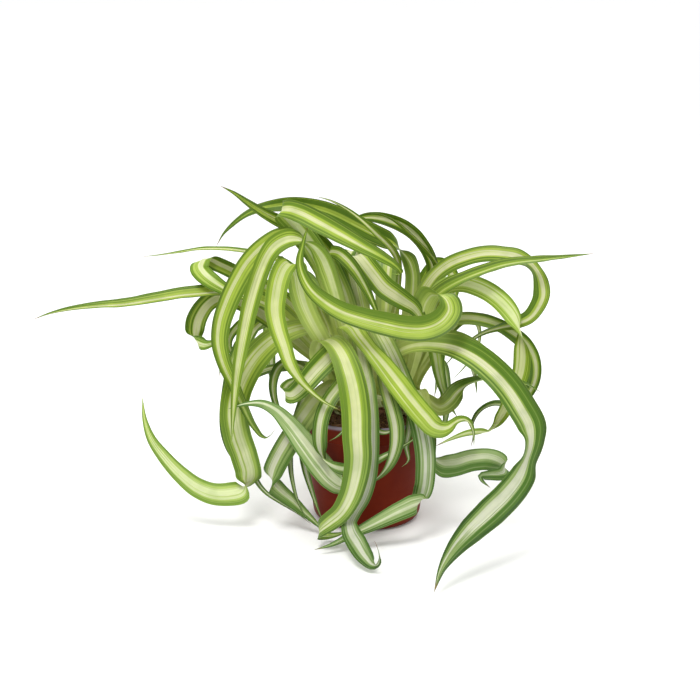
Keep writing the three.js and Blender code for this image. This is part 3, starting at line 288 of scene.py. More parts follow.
# ---- Leaf materials ----
def leaf_material(name, warm, cool, base, roughness):
    """Lengthwise bands: cream in the middle, yellow-green beside it, green margins, and fine lines.

    Warm and cool are (cream, yellow, green, edge); the cool tones are painted shade, given to the
    plant's low leaves and some others.
    """
    t = Tree(name)
    across, along, share = t.attribute("where")
    seed, tone, band = t.attribute("look")
    lean, line, warmth = t.attribute("habit")
    wander = t.noise(t.vector(along, seed, 0.0), 7.0, 1.0)
    centre = t.math("ADD", lean, t.swing(wander, BAND_WANDER))
    gap = t.math("SUBTRACT", across, centre)
    which = t.math("SIGN", gap)
    room = t.math("ADD", 1.0, t.math("MULTIPLY", which, t.math("MULTIPLY", centre, -1.0)))
    side = t.math("DIVIDE", t.math("ABSOLUTE", gap), room)
    half = t.noise(t.vector(seed, which, 0.0), 5.3, 0.0)

    def streaks(count, run, low=0.36, high=0.64, detail=1.0):
        lane = t.math("MULTIPLY", t.math("MULTIPLY_ADD", seed, SEED_SHIFT, across), count)
        place = t.vector(lane, t.math("MULTIPLY", along, run), seed)
        return t.step(t.noise(place, 1.0, detail), low, high)

    broad = streaks(3.2, 2.2)
    fine = streaks(9.0, 3.0)
    reach = side
    for value, size in ((broad, BROAD_STREAKS), (half, SIDE_DIFFERENCE), (fine, FINE_STREAKS)):
        reach = t.math("ADD", reach, t.swing(value, size))
    reach = t.math("ADD", t.math("SUBTRACT", reach, band), t.step(share, 0.75, 1.0, 0.0, GREEN_TIP))
    height = t.split(t.position())[2]
    # Painted shade: low leaves, and those whose warmth is below 0, take the cooler, greyer tones.
    low_chill = t.step(height, COOL_HEIGHT, WARM_HEIGHT, LOW_COOLNESS, 0.0)
    chill = t.math("MULTIPLY_ADD", warmth, COOLNESS_OF_WARMTH, low_chill)
    chill = t.math("MINIMUM", t.math("MAXIMUM", chill, 0.0), 1.0)

    def banded(tones):
        cream, yellow, green, edge = tones
        return t.ramp(reach, list(zip(BANDS, (cream, cream, yellow, yellow, green, green, edge))))

    colour = t.mix(chill, banded(warm), banded(cool))
    yellow = t.mix(chill, warm[1], cool[1])
    green = t.mix(chill, warm[2], cool[2])
    light_line = t.step(t.apart(side, line), 0.015, 0.05, 0.65, 0.0)
    light_line = t.math("MULTIPLY", light_line, t.step(half, 0.4, 0.6, 0.2, 1.0))
    colour = t.mix(light_line, colour, yellow)
    dark_place = t.math("MULTIPLY", line, DARK_LINE_PLACE)
    dark_line = t.step(t.apart(side, dark_place), 0.01, 0.035, 0.5, 0.0)
    dark_line = t.math("MULTIPLY", dark_line, t.step(half, 0.6, 0.4, 0.2, 1.0))
    colour = t.mix(dark_line, colour, green)
    # Painted highlight: a pale line along the blade's very edge, where light catches it.
    colour = t.mix(t.step(side, 0.95, 0.99, 0.0, 0.4), colour, yellow)
    hairline = streaks(24.0, 3.0, 0.3, 0.7)
    colour = t.mix(t.step(hairline, 0.75, 1.0, 0.0, 0.2), colour, green)
    colour = t.mix(t.step(hairline, 0.2, 0.0, 0.0, 0.2), colour, yellow)
    # Pale leaf bases: partly their own paler colour, partly painted light that lifts the shade in the
    # plant's heart.
    near_base = t.step(along, 20 * MM, 170 * MM, 0.85, 0.0)
    is_base = t.math("MULTIPLY", near_base, t.step(share, 0.2, 0.6, 1.0, 0.0))
    colour = t.mix(is_base, colour, base)
    blotch = t.noise(t.position(), 45.0, 2.0)
    colour = t.mix(t.step(blotch, 0.4, 0.7, 0.0, 0.22), colour, green)
    colour = t.mix(t.math("MAXIMUM", warmth, 0.0), colour, yellow)
    # The tone is a random difference for most leaves; for a few dark ones it is painted shade.
    shade = t.vector(tone, tone, tone)
    colour = t.mix(1.0, colour, shade, "MULTIPLY")
    is_dry = t.step(t.noise(t.vector(seed, 0.0, 0.0), 7.0, 0.0), 0.45, 0.55)
    dry_tip = t.math("MULTIPLY", t.step(share, 0.972, 0.99), is_dry)
    colour = t.mix(dry_tip, colour, srgb(*DRY_TIP))
    rib_place = t.vector(t.math("MULTIPLY", across, 22.0), t.math("MULTIPLY", along, 4.0), seed)
    ribs = t.noise(rib_place, 1.0, 2.0)
    t.bump(ribs, 0.5, 0.3 * MM)
    rough = t.step(ribs, 0.2, 0.8, roughness - 0.06, roughness + 0.08)
    return t.set(
        Base_Color=colour,
        Roughness=rough,
        Subsurface_Weight=0.4,
        Subsurface_Radius=(1.0, 1.1, 0.45),
        Subsurface_Scale=0.35 * MM,
        Specular_IOR_Level=0.22,
    )


leaf_top = leaf_material(
    "leaf_upper_side",
    warm=(srgb(197, 199, 153), srgb(148, 168, 58), srgb(76, 108, 8), srgb(46, 76, 4)),
    cool=(srgb(184, 188, 167), srgb(126, 146, 92), srgb(62, 96, 26), srgb(40, 70, 16)),
    base=srgb(190, 200, 112), roughness=0.46,
)
# The underside is lighter than the upper side: partly its own paler colour, partly painted light for
# the shade the downward-facing sides sit in.
leaf_under = leaf_material(
    "leaf_underside",
    warm=(srgb(203, 209, 160), srgb(162, 182, 82), srgb(102, 134, 30), srgb(60, 94, 14)),
    cool=(srgb(196, 202, 168), srgb(142, 162, 104), srgb(80, 114, 44), srgb(50, 82, 26)),
    base=srgb(210, 218, 136), roughness=0.52,
)


# ---- Leaf blades, from the frame's own ----
def bare_mesh(node):
    """A node's corner points, each once, and its triangles."""
    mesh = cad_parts[node].data
    points = np.zeros(len(mesh.vertices) * 3)
    mesh.vertices.foreach_get("co", points)
    points, place = np.unique(points.reshape(-1, 3), axis=0, return_inverse=True)
    place = place.reshape(-1)
    mesh.calc_loop_triangles()
    faces = np.zeros(len(mesh.loop_triangles) * 3, dtype=np.int64)
    mesh.loop_triangles.foreach_get("vertices", faces)
    return points, place[faces].reshape(-1, 3)


def neighbours_of(count, faces):
    near = [set() for _ in range(count)]
    for a, b, c in faces:
        near[a] |= {b, c}
        near[b] |= {a, c}
        near[c] |= {a, b}
    return near


def levels_from(tip, near):
    """The corner points by how many edges they lie from the tip."""
    levels, seen = [{tip}], {tip}
    while True:
        following = set().union(*(near[v] for v in levels[-1])) - seen
        if not following:
            return levels
        levels.append(following)
        seen |= following


def stations_of(node):
    """The frame's blade from base to tip: middle points, directions to its left edge and widths."""
    points, faces = bare_mesh(node)
    near = neighbours_of(len(points), faces)
    crown_middle = np.mean(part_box("crown"), axis=0)
    possible = [i for i, beside in enumerate(near) if len(beside) == 4]
    for tip in sorted(possible, key=lambda i: -np.linalg.norm(points[i] - crown_middle)):
        levels = levels_from(tip, near)
        if sum(map(len, levels)) == len(points) and all(len(ring) == 4 for ring in levels[1:]):
            break
    else:
        raise ValueError(f"{node} has no plain run of rings")
    rings = [sorted(ring) for ring in levels[1:]][::-1]

    def gap(a, b):
        return float(np.linalg.norm(points[a] - points[b]))

    def spread(ring):
        """The widest gap between two of a ring's corners, and the two."""
        return max((gap(a, b), a, b) for a in ring for b in ring if a < b)

    middles = [points[ring].mean(axis=0) for ring in rings] + [points[tip]]
    widest = int(np.argmax([spread(ring)[0] for ring in rings]))
    _, one, other = spread(rings[widest])
    mid = (points[one] + points[other]) / 2
    rest = set(rings[widest]) - {one, other}
    ridge, keel = sorted(rest, key=lambda v: np.linalg.norm(points[v] - mid))
    run = middles[widest + 1] - middles[max(widest - 1, 0)]
    leftward = np.cross(points[ridge] - points[keel], run)
    if (points[one] - points[other]) @ leftward < 0:
        one, other = other, one
    rows = {widest: (one, ridge, other, keel)}

    def follow(row, ring):
        """The next ring's corners in this row's order.

        Each touches its own corner of the row alone, or that and both beside it.
        """
        order = {}
        for v in ring:
            touched = {c for c in range(4) if row[c] in near[v]}
            between = {c for c in touched if {(c - 1) % 4, (c + 1) % 4} <= touched}
            order[min(between or touched)] = v
        return tuple(order[c] for c in range(4))

    for k in range(widest + 1, len(rings)):
        rows[k] = follow(rows[k - 1], rings[k])
    for k in range(widest - 1, -1, -1):
        rows[k] = follow(rows[k + 1], rings[k])
    corners = np.array([points[list(rows[k])] for k in range(len(rings))])
    leftward = corners[:, 0] - corners[:, 2]
    widths = np.linalg.norm(leftward, axis=1)
    centres = (corners[:, 0] + corners[:, 2] + corners[:, 1] + corners[:, 3]) / 4
    centres = np.vstack([centres, points[tip]])
    leftward = np.vstack([leftward / widths[:, None], leftward[-1:] / widths[-1]])
    return centres, leftward, np.append(widths, 0)


def spline(values, at, wanted):
    """A smooth curve through the values at the given places, read at the wanted ones."""
    values = np.asarray(values, float).reshape(len(at), -1)
    step = np.diff(at)[:, None]
    slope = np.diff(values, axis=0) / step
    tangent = np.empty_like(values)
    tangent[1:-1] = (slope[:-1] * step[1:] + slope[1:] * step[:-1]) / (step[1:] + step[:-1])
    tangent[0] = slope[0]
    tangent[-1] = slope[-1]
    k = np.clip(np.searchsorted(at, wanted, side="right") - 1, 0, len(at) - 2)
    h = step[k]
    t = ((wanted - at[k]) / h[:, 0])[:, None]
    return (
        (2 * t**3 - 3 * t**2 + 1) * values[k]
        + (t**3 - 2 * t**2 + t) * h * tangent[k]
        + (-2 * t**3 + 3 * t**2) * values[k + 1]
        + (t**3 - t**2) * h * tangent[k + 1]
    )


def unit(rows):
    return rows / np.maximum(np.linalg.norm(rows, axis=1, keepdims=True), 1e-12)


def blade_mesh(node):
    """A thin channelled blade, with a midrib and wavy edges, along the frame's one."""
    centres, leftward, widths = stations_of(node)
    widths[1:-1] = (widths[:-2] + 2 * widths[1:-1] + widths[2:]) / 4
    at = np.append(0, np.cumsum(np.linalg.norm(np.diff(centres, axis=0), axis=1)))
    length = at[-1]
    rings = max(FEWEST_RINGS, int(length / RING_STEP))
    wanted = np.linspace(0, length, rings + 1)
    middle = spline(centres, at, wanted)
    run = unit(np.gradient(middle, axis=0))
    across = spline(leftward, at, wanted)
    across = unit(across - run * (across * run).sum(axis=1, keepdims=True))
    normal = np.cross(run, across)
    width = np.maximum(np.interp(wanted, at, widths), spline(widths, at, wanted)[:, 0] * 0.98)
    width = np.maximum(width, BASE_WIDTH * np.clip(1 - wanted / SHEATH_LENGTH, 0, 1))
    share = wanted / length

    rng = np.random.default_rng(seed_of(node))
    base_fold = np.clip(1 - wanted / BASE_FOLD_LENGTH, 0, 1) ** 1.5
    open_channel = rng.uniform(*CHANNEL)
    channel = (open_channel + (BASE_CHANNEL - open_channel) * base_fold) * width
    u = np.array([-v for v in reversed(ACROSS[1:])] + list(ACROSS))
    thickness = BLADE_THICKNESS + (TIP_THICKNESS - BLADE_THICKNESS) * share**4
    lift = CAD_CHANNEL * width[:, None] / 2 - channel[:, None] * (1 - np.abs(u) ** CHANNEL_POWER)
    for side in (-1, 1):
        phase = rng.uniform(0, WAVE_TURN)
        pitch = rng.uniform(*WAVE_PITCH) * MM
        size = rng.uniform(0.5, 1.0)
        swell_phase = rng.uniform(0, WAVE_TURN)
        swell = 0.5 + 0.5 * np.sin(wanted / (SWELL_PITCHES * pitch) * WAVE_TURN + swell_phase)
        wave = size * swell * np.sin(wanted / pitch * WAVE_TURN + phase)
        wave = wave * np.clip(width / FULL_WAVE_WIDTH, 0, 1)
        lift += EDGE_WAVE * wave[:, None] * np.clip(u * side, 0, 1) ** 2.5
    rib_size = np.clip(width / FULL_RIB_WIDTH, 0, 1)[:, None]
    half = thickness[:, None] * (1 - EDGE_THINNING * u**4) / 2
    top = lift + half - MIDRIB_GROOVE * np.exp(-((u / GROOVE_SPREAD) ** 2)) * rib_size
    under = lift - half - KEEL_HEIGHT * np.exp(-((u / KEEL_SPREAD) ** 2)) * rib_size

    def sheet(height):
        sideways = u[None, :, None] * width[:, None, None] / 2
        return middle[:, None] + across[:, None] * sideways + normal[:, None] * height[:, :, None]

    columns = len(u)
    last = rings  # the ring that shrinks to the tip
    grids = [sheet(top)[:last], sheet(under)[:last]]
    points = np.vstack([grid.reshape(-1, 3) for grid in grids] + [middle[last:]])
    tip = len(points) - 1
    under_start = last * columns
    faces = []
    for ring in range(last - 1):
        for c in range(columns - 1):
            a = ring * columns + c
            faces.append((a, a + columns, a + columns + 1, a + 1))
            b = a + under_start
            faces.append((b, b + 1, b + columns + 1, b + columns))
    end = (last - 1) * columns
    for c in range(columns - 1):
        faces.append((end + c, tip, end + c + 1))
        faces.append((under_start + end + c, under_start + end + c + 1, tip))
        faces.append((c, c + 1, under_start + c + 1, under_start + c))
    for c in (0, columns - 1):
        for ring in range(last - 1):
            a = ring * columns + c
            strip = (a, a + under_start, a + under_start + columns, a + columns)
            faces.append(strip if c == 0 else strip[::-1])
        a = end + c
        close = (a, a + under_start, tip)
        faces.append(close if c == 0 else close[::-1])
    mesh = mesh_of(node + "_blade", points, faces)
    where = np.empty((len(points), 3))
    for k in range(2):
        block = where[k * under_start:(k + 1) * under_start].reshape(last, columns, 3)
        block[:, :, 0] = u
        block[:, :, 1] = wanted[:last, None]
        block[:, :, 2] = share[:last, None]
    where[tip] = (0, length, 1)
    put_attribute(mesh, "where", where)
    usual = (rng.uniform(0.86, 1.04), rng.uniform(-0.06, 0.08), rng.uniform(-0.3, 0.3), 0)
    tone, band, lean, warmth = LOOKS.get(node, usual)
    look = (rng.uniform(0, 40), tone, band)
    habit = (lean, rng.uniform(0.66, 0.84), warmth)
    put_attribute(mesh, "look", np.tile(look, (len(points), 1)))
    put_attribute(mesh, "habit", np.tile(habit, (len(points), 1)))
    is_under = np.array([min(face) >= under_start for face in faces], dtype=np.int32)
    mesh.materials.append(leaf_top)
    mesh.materials.append(leaf_under)
    mesh.polygons.foreach_set("material_index", is_under)
    layer = mesh.uv_layers.new(name="blade")
    loops = np.zeros(len(mesh.loops), dtype=np.int64)
    mesh.loops.foreach_get("vertex_index", loops)
    flat = np.column_stack([where[loops, 0] * 0.5 + 0.5, where[loops, 1] / length])
    layer.data.foreach_set("uv", flat.astype(np.float32).reshape(-1))
    set_smooth(mesh)
    return mesh


def put_attribute(mesh, name, values):
    made = mesh.attributes.new(name, "FLOAT_VECTOR", "POINT")
    made.data.foreach_set("vector", np.asarray(values, dtype=np.float32).reshape(-1))


# The leaves whose look stands out: brightness (below 1 a painted shade, for leaves deep in the
# plant), how much wider the cream is, how far it lies to one side, and how far the whole blade turns
# yellow, or below 0 how far it turns cool (painted shade).
LOOKS = {
    "leaf_front_centre": (1.05, -0.04, 0.1, 0.12),
    "leaf_front_right_fold": (1.06, 0.02, 0.1, 0.14),
    "leaf_folded_top": (1.03, 0.06, 0.1, 0.1),
    "leaf_high_front_loop": (1.0, -0.12, 0.3, 0.1),
    "leaf_left_arch_outer": (1.05, 0.0, -0.2, 0.1),
    "leaf_left_arch_second": (1.05, 0.02, 0.0, 0.15),
    "leaf_left_arch_third": (1.06, 0.05, 0.1, 0.2),
    "leaf_right_pale_arch": (1.05, 0.1, 0.0, 0.2),
    "leaf_right_sweep": (1.0, -0.02, -0.3, -0.02),
    "leaf_right_point": (1.0, -0.25, 0.0, 0.12),
    "leaf_right_low": (0.98, 0.04, -0.1, -0.25),
    "leaf_front_foot_curl": (1.0, 0.04, 0.0, -0.1),
    "leaf_low_left_front": (1.03, 0.14, 0.15, -0.2),
    "leaf_front_right_low": (1.0, 0.1, 0.0, -0.12),
    "leaf_left_loop": (1.07, 0.06, 0.0, 0.15),
    # Painted shade: these two leaves sit in the plant's shade, so their colour is darkened.
    "leaf_under_dark": (0.8, -0.05, 0.0, 0.0),
    "leaf_dark_vertical": (0.75, -0.08, 0.0, 0.0),
}


def make_leaves():
    for node in sorted(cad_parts):
        if node.startswith("leaf_"):
            new_piece(node + "_blade", blade_mesh(node), "leaf", node)


# ---- Pot ----
def arc(centre_radius, centre_z, size, start, stop, steps):
    """Points of (radius, z) along an arc, from start to stop in degrees."""
    angles = np.radians(np.linspace(start, stop, steps + 1))
    return [(centre_radius + size * math.cos(a), centre_z + size * math.sin(a)) for a in angles]


def turned(name, outline):
    """A closed body of revolution from an outline of (radius, z) that starts and ends on the axis."""
    points, faces = [(0, 0, outline[0][1])], []
    body = outline[1:-1]
    for radius, z in body:
        for k in range(TURNS):
            angle = 2 * math.pi * k / TURNS
            points.append((radius * math.cos(angle), radius * math.sin(angle), z))
    points.append((0, 0, outline[-1][1]))
    for k in range(TURNS):
        following = (k + 1) % TURNS
        faces.append((0, 1 + following, 1 + k))
        for ring in range(len(body) - 1):
            a = 1 + ring * TURNS
            faces.append((a + k, a + following, a + TURNS + following, a + TURNS + k))
        a = 1 + (len(body) - 1) * TURNS
        faces.append((a + k, a + following, len(points) - 1))
    return mesh_of(name, points, faces)


def pot_outline():
    """Repeats the frame's outline with finer arcs, a rolled lip and eased corners.

    It goes from the middle of the foot up the outside, over the lip and down the inside.
    """
    _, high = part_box("pot")
    height = high.z
    band_foot = height - BAND_HEIGHT
    slope = (BODY_TOP - FOOT_RADIUS) / (band_foot - FOOT_ROUNDING)
    inner_top = FOOT_RADIUS + slope * (height - FOOT_ROUNDING) - POT_WALL
    inner_foot = FOOT_RADIUS - POT_WALL
    inner_rounding = FOOT_ROUNDING - POT_WALL
    return [
        (0, RECESS_DEPTH),
        (RECESS_RADIUS, RECESS_DEPTH),
        *arc(RECESS_EDGE, RECESS_DEPTH, RECESS_DEPTH, 180, 270, 4),
        *arc(FOOT_RADIUS - FOOT_ROUNDING, FOOT_ROUNDING, FOOT_ROUNDING, -90, -6, 14),
        (FOOT_RADIUS + slope * 30 * MM, FOOT_ROUNDING + 30 * MM),
        (BODY_TOP - slope * 1 * MM, band_foot - 1 * MM),
        *arc(BAND_FOOT_RADIUS, band_foot + 0.5 * MM, 0.6 * MM, -90, 0, 5),
        (BAND_TOP_RADIUS, height - 5.4 * MM),
        *arc(64.4 * MM, height - 3.9 * MM, 0.5 * MM, -60, -20, 3),
        *arc(high.x - LIP_RADIUS, height - LIP_RADIUS, LIP_RADIUS, -10, 90, 10),
        *arc(inner_top + LIP_INSIDE, height - LIP_INSIDE, LIP_INSIDE, 90, 176, 6),
        (inner_top - slope * 40 * MM, height - 41 * MM),
        *arc(inner_foot - inner_rounding, POT_FLOOR + inner_rounding, inner_rounding, 0, -90, 8),
        (0, POT_FLOOR),
    ]


def pot_material():
    """Satin plastic with fine turned lines, a little dust and a pale blue-grey painted reflection
    along the lip.
    """
    t = Tree("terracotta_plastic")
    pot_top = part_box("pot")[1].z
    place = t.position()
    height = t.split(place)[2]
    cloud = t.noise(place, 28.0, 4.0, 0.6)
    speck = t.noise(place, 900.0, 2.0)
    colour = t.ramp(cloud, [(0.3, srgb(92, 24, 7)), (0.7, srgb(106, 31, 9))])
    dust = t.noise(place, 70.0, 6.0, 0.7)
    dusty = t.step(dust, 0.55, 0.8, 0.0, 0.1)
    colour = t.mix(dusty, colour, srgb(140, 92, 66))
    # Painted reflection: the lip's top few millimetres turn pale blue-grey, as if mirroring the
    # bright surroundings.
    lip_sheen = t.step(height, pot_top - LIP_SHEEN_HEIGHT, pot_top - 1.2 * MM, 0.0, 0.6)
    colour = t.mix(lip_sheen, colour, srgb(150, 152, 166))
    ridges = t.math("SINE", t.math("MULTIPLY", height, RIDGES))
    grain = t.math("MULTIPLY_ADD", ridges, 0.12, speck)
    t.bump(grain, 0.12, 0.08 * MM)
    rough = t.step(dust, 0.3, 0.8, 0.4, 0.56)
    return t.set(Base_Color=colour, Roughness=rough, Specular_IOR_Level=0.06)


def make_pot():
    """The turned shell with its drain holes cut through the floor."""
    mesh = turned("pot_shell", pot_outline())
    piece = new_piece("pot_shell", mesh, "pot_plastic", "pot")
    cutters = bmesh.new()
    for k in range(DRAIN_HOLES):
        angle = 2 * math.pi * k / DRAIN_HOLES
        place = Vector((DRAIN_CIRCLE * math.cos(angle), DRAIN_CIRCLE * math.sin(angle), 1.5 * MM))
        made = bmesh.ops.create_cone(
            cutters,
            cap_ends=True,
            segments=40,
            radius1=DRAIN_RADIUS,
            radius2=DRAIN_RADIUS,
            depth=12 * MM,
        )
        bmesh.ops.translate(cutters, verts=made["verts"], vec=place)
    cutter_mesh = bpy.data.meshes.new("drain_cutters")
    cutters.to_mesh(cutter_mesh)
    cutters.free()
    cutter = bpy.data.objects.new("drain_cutters", cutter_mesh)
    bpy.context.scene.collection.objects.link(cutter)
    cut = piece.modifiers.new("drains", "BOOLEAN")
    cut.object = cutter
    cut.solver = "EXACT"
    drilled_piece = piece.evaluated_get(bpy.context.evaluated_depsgraph_get())
    drilled = bpy.data.meshes.new_from_object(drilled_piece)
    piece.modifiers.clear()
    piece.data = drilled
    bpy.data.objects.remove(cutter)
    set_smooth(drilled, math.radians(32))
    drilled.materials.clear()
    drilled.materials.append(pot_material())


# ---- Soil ----
def soil_material(name, dark, light):
    t = Tree(name)
    place = t.position()
    coarse = t.noise(place, 140.0, 6.0, 0.7)
    fine = t.noise(place, 700.0, 4.0, 0.7)
    colour = t.ramp(coarse, [(0.3, dark), (0.7, light)])
    colour = t.mix(t.step(fine, 0.55, 0.75, 0.0, 0.5), colour, srgb(150, 110, 78))
    t.bump(t.math("ADD", coarse, fine), 0.9, 1.2 * MM)
    return t.set(Base_Color=colour, Roughness=0.95, Specular_IOR_Level=0.25)


def lumpy(x, y):
    """The height of the soil's lumps at a place, in millimetres, about 0."""
    place = Vector((x, y, LUMPS_SEED))
    coarse = noise.noise(place * 70)
    middling = noise.noise(place * 190)
    fine = noise.noise(place * 480)
    return coarse * 1.1 + middling * 0.8 + fine * 0.5


def soil_top(radius, high):
    """The soil's height before its lumps: level in the middle, falling towards the wall."""
    if radius <= SOIL_SHOULDER:
        return high
    return high - SOIL_DROP * ((radius - SOIL_SHOULDER) / (SOIL_EDGE - SOIL_SHOULDER)) ** 1.2


def make_soil():
    """The block of compost with a lumpy top, and what lies loose on it."""
    low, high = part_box("soil")
    edge = high.x - 0.5 * MM
    top = high.z - 0.6 * MM
    points, faces = [(0, 0, top)], []
    for ring in range(1, SOIL_RINGS + 1):
        radius = edge * ring / SOIL_RINGS
        for k in range(SOIL_SPOKES):
            angle = 2 * math.pi * k / SOIL_SPOKES
            x, y = radius * math.cos(angle), radius * math.sin(angle)
            lump = lumpy(x, y) * MM * min(1, (SOIL_RINGS - ring) / 3)
            points.append((x, y, soil_top(radius, top) + min(lump, HIGHEST_LUMP)))
    wall = [(edge - 0.3 * MM, top - 16 * MM), (48 * MM, 9 * MM), (41 * MM, low.z + 0.2 * MM)]
    for radius, z in wall:
        for k in range(SOIL_SPOKES):
            angle = 2 * math.pi * k / SOIL_SPOKES
            points.append((radius * math.cos(angle), radius * math.sin(angle), z))
    points.append((0, 0, low.z + 0.2 * MM))
    for k in range(SOIL_SPOKES):
        following = (k + 1) % SOIL_SPOKES
        faces.append((0, 1 + k, 1 + following))
        for ring in range(SOIL_RINGS + len(wall) - 1):
            a = 1 + ring * SOIL_SPOKES
            b = a + SOIL_SPOKES
            faces.append((a + k, b + k, b + following, a + following))
        a = 1 + (SOIL_RINGS + len(wall) - 1) * SOIL_SPOKES
        faces.append((a + k, len(points) - 1, a + following))
    mesh = mesh_of("soil_block", points, faces)
    mesh.shade_smooth()
    mesh.materials.append(soil_material("compost", srgb(66, 42, 29), srgb(132, 92, 64)))
    new_piece("soil_block", mesh, "soil", "soil")
    make_crumbs(top, edge)
    make_fibres(top, edge)


def make_crumbs(top, edge):
    """Loose lumps of compost and a few white grains, lying on the soil."""
    rng = np.random.default_rng(11)
    crumb_look = soil_material("crumbs", srgb(56, 36, 25), srgb(126, 88, 60))
    grit_look = soil_material("grit", srgb(150, 146, 136), srgb(206, 202, 194))
    for name, count, sizes, material in (
        ("soil_crumbs", CRUMBS, CRUMB_SIZES, crumb_look),
        ("soil_grit", GRIT, GRIT_SIZES, grit_look),
    ):
        grains = bmesh.new()
        for _ in range(count):
            radius = (edge - 3 * MM) * math.sqrt(rng.uniform(0, 1))
            angle = rng.uniform(0, 2 * math.pi)
            size = rng.uniform(*sizes) * MM
            made = bmesh.ops.create_icosphere(grains, subdivisions=2, radius=size)
            stretch = rng.uniform(0.6, 1.1, 3)
            shift = rng.uniform(-9, 9, 3)
            x, y = radius * math.cos(angle), radius * math.sin(angle)
            z = soil_top(radius, top) + lumpy(x, y) * MM * 0.7 + size * 0.25
            for v in made["verts"]:
                rough = 1 + 0.35 * noise.noise(Vector(v.co) / size * 1.3 + Vector(shift))
                v.co = Vector(v.co * rough) * Vector(stretch) + Vector((x, y, z))
        mesh = bpy.data.meshes.new(name)
        grains.to_mesh(mesh)
        grains.free()
        mesh.shade_smooth()
        mesh.materials.append(material)
        new_piece(name, mesh, "soil")


def tube(points, radii, sides=6):
    """A closed thin tube along points, as vertices and faces."""
    points = np.asarray(points)
    run = unit(np.gradient(points, axis=0))
    side = unit(np.cross(run, np.array([0.0, 0.0, 1.0]) + 0.01 * run))
    up = np.cross(run, side)
    vertices, faces = [], []
    for place, a, b, radius in zip(points, side, up, radii):
        for k in range(sides):
            angle = 2 * math.pi * k / sides
            vertices.append(place + radius * (math.cos(angle) * a + math.sin(angle) * b))
    for ring in range(len(points) - 1):
        for k in range(sides):
            following = (k + 1) % sides
            a, b = ring * sides, (ring + 1) * sides
            faces.append((a + k, a + following, b + following, b + k))
    faces.append(tuple(reversed(range(sides))))
    faces.append(tuple(range(len(vertices) - sides, len(vertices))))
    return vertices, faces


def make_fibres(top, edge):
    """Dry, bent root fibres lying on the soil."""
    rng = np.random.default_rng(5)
    vertices, faces = [], []
    for _ in range(FIBRES):
        radius = (edge - 8 * MM) * math.sqrt(rng.uniform(0.1, 1))
        angle, heading = rng.uniform(0, 2 * math.pi, 2)
        length = rng.uniform(7, 20) * MM
        bend = rng.uniform(-1.6, 1.6)
        steps = np.linspace(0, 1, FIBRE_STEPS)
        turn = heading + bend * steps
        x = radius * math.cos(angle) + np.cumsum(np.cos(turn)) * length / FIBRE_STEPS
        y = radius * math.sin(angle) + np.cumsum(np.sin(turn)) * length / FIBRE_STEPS
        keep = min(1.0, (edge - 3 * MM) / max(np.hypot(x, y)))
        x, y = x * keep, y * keep
        hop = rng.uniform(0.4, 2.2) * MM * np.sin(math.pi * steps)
        z = [soil_top(math.hypot(a, b), top) + 0.9 * MM + c for a, b, c in zip(x, y, hop)]
        thick = rng.uniform(0.14, 0.4) * MM
        radii = thick * (1 - 0.6 * steps)
        more, rims = tube(np.column_stack([x, y, z]), radii)
        faces += [tuple(v + len(vertices) for v in face) for face in rims]
        vertices += more
    mesh = mesh_of("soil_fibres", vertices, faces)
    mesh.shade_smooth()
    mesh.materials.append(soil_material("fibre", srgb(104, 70, 44), srgb(190, 148, 104)))
    new_piece("soil_fibres", mesh, "soil")


# ---- Crown ----
def crown_material():
    t = Tree("crown_skin")
    place = t.position()
    streak = t.noise(place, 300.0, 4.0, 0.6)
    patch = t.noise(place, 90.0, 3.0)
    colour = t.ramp(streak, [(0.3, srgb(150, 160, 96)), (0.7, srgb(206, 212, 160))])
    colour = t.mix(t.step(patch, 0.5, 0.7, 0.0, 0.7), colour, srgb(126, 96, 62))
    t.bump(streak, 0.6, 0.6 * MM)
    return t.set(Base_Color=colour, Roughness=0.6, Specular_IOR_Level=0.3)


def make_crown():
    """The frame's domes, made fine and a little uneven; the leaf bases stand on them."""
    points, faces = bare_mesh("crown")
    mesh = mesh_of("crown_stock", points, [tuple(face) for face in faces])
    work = bmesh.new()
    work.from_mesh(mesh)
    bmesh.ops.remove_doubles(work, verts=work.verts, dist=0.01 * MM)
    bmesh.ops.triangulate(work, faces=work.faces)
    bmesh.ops.subdivide_edges(work, edges=work.edges, cuts=2, use_grid_fill=True)
    foot = min(v.co.z for v in work.verts)
    work.normal_update()
    moves = []
    for v in work.verts:
        rise = min(1.0, (v.co.z - foot) / (2 * MM))
        moves.append(v.normal * (noise.noise(v.co * 260) * 0.28 * MM * rise))
    for v, move in zip(work.verts, moves):
        v.co += move
    work.to_mesh(mesh)
    work.free()
    mesh.shade_smooth()
    mesh.materials.append(crown_material())
    new_piece("crown_stock", mesh, "crown", "crown")


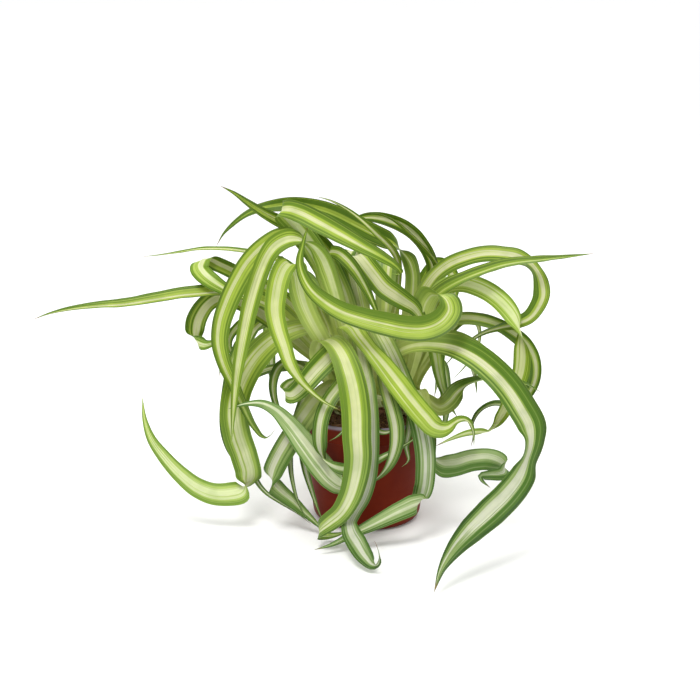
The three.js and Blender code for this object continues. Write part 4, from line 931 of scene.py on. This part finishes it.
# ---- Floor, light and camera ----
def make_floor():
    t = Tree("floor")
    t.set(Base_Color=(0.93, 0.93, 0.93, 1), Roughness=0.9, Specular_IOR_Level=0.1)
    side = FLOOR_HALF_SIDE
    corners = [(-side, -side, 0), (side, -side, 0), (side, side, 0), (-side, side, 0)]
    mesh = mesh_of("floor", corners, [(0, 1, 2, 3)])
    mesh.materials.append(t.material)
    floor = bpy.data.objects.new("floor", mesh)
    bpy.context.scene.collection.objects.link(floor)


def add_area(name, place, size, power, colour):
    light = bpy.data.lights.new(name, "AREA")
    light.shape = "DISK"
    light.size = size
    light.energy = power
    light.color = colour
    lamp = bpy.data.objects.new(name, light)
    lamp.location = place
    lamp.rotation_euler = (Vector(LIGHT_AIM) - Vector(place)).to_track_quat("-Z", "Y").to_euler()
    bpy.context.scene.collection.objects.link(lamp)


def make_light():
    scene = bpy.context.scene
    world = bpy.data.worlds.new("studio")
    world.use_nodes = True
    background = world.node_tree.nodes["Background"]
    background.inputs["Color"].default_value = (1, 1, 1, 1)
    background.inputs["Strength"].default_value = SKY
    scene.world = world
    add_area("key", KEY_PLACE, KEY_SIZE, KEY_POWER, KEY_COLOUR)
    add_area("back", BACK_PLACE, BACK_SIZE, BACK_POWER, (1, 1, 1))
    scene.view_settings.view_transform = "Standard"
    scene.view_settings.look = "None"


def make_camera():
    """Looks along +Y and down by the view's tilt, with the rim's centre at its pixel."""
    up = Vector((0, math.sin(VIEW_TILT), math.cos(VIEW_TILT)))
    toward = Vector((0, -math.cos(VIEW_TILT), math.sin(VIEW_TILT)))
    _, pot_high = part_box("pot")
    rim = Vector((0, 0, pot_high.z))
    half = IMAGE_SIDE / 2
    aside = Vector((1, 0, 0)) * (half - RIM_PIXEL[0]) * GRID_STEP
    target = rim + aside + up * (RIM_PIXEL[1] - half) * GRID_STEP
    data = bpy.data.cameras.new("camera")
    data.sensor_width = SENSOR
    data.lens = SENSOR * VIEW_DISTANCE / (IMAGE_SIDE * GRID_STEP)
    camera = bpy.data.objects.new("camera", data)
    camera.location = target + toward * VIEW_DISTANCE
    camera.rotation_euler = (-toward).to_track_quat("-Z", "Y").to_euler()
    bpy.context.scene.collection.objects.link(camera)
    bpy.context.scene.camera = camera


make_camera()
make_light()
make_floor()
make_pot()
make_soil()
make_crown()
make_leaves()
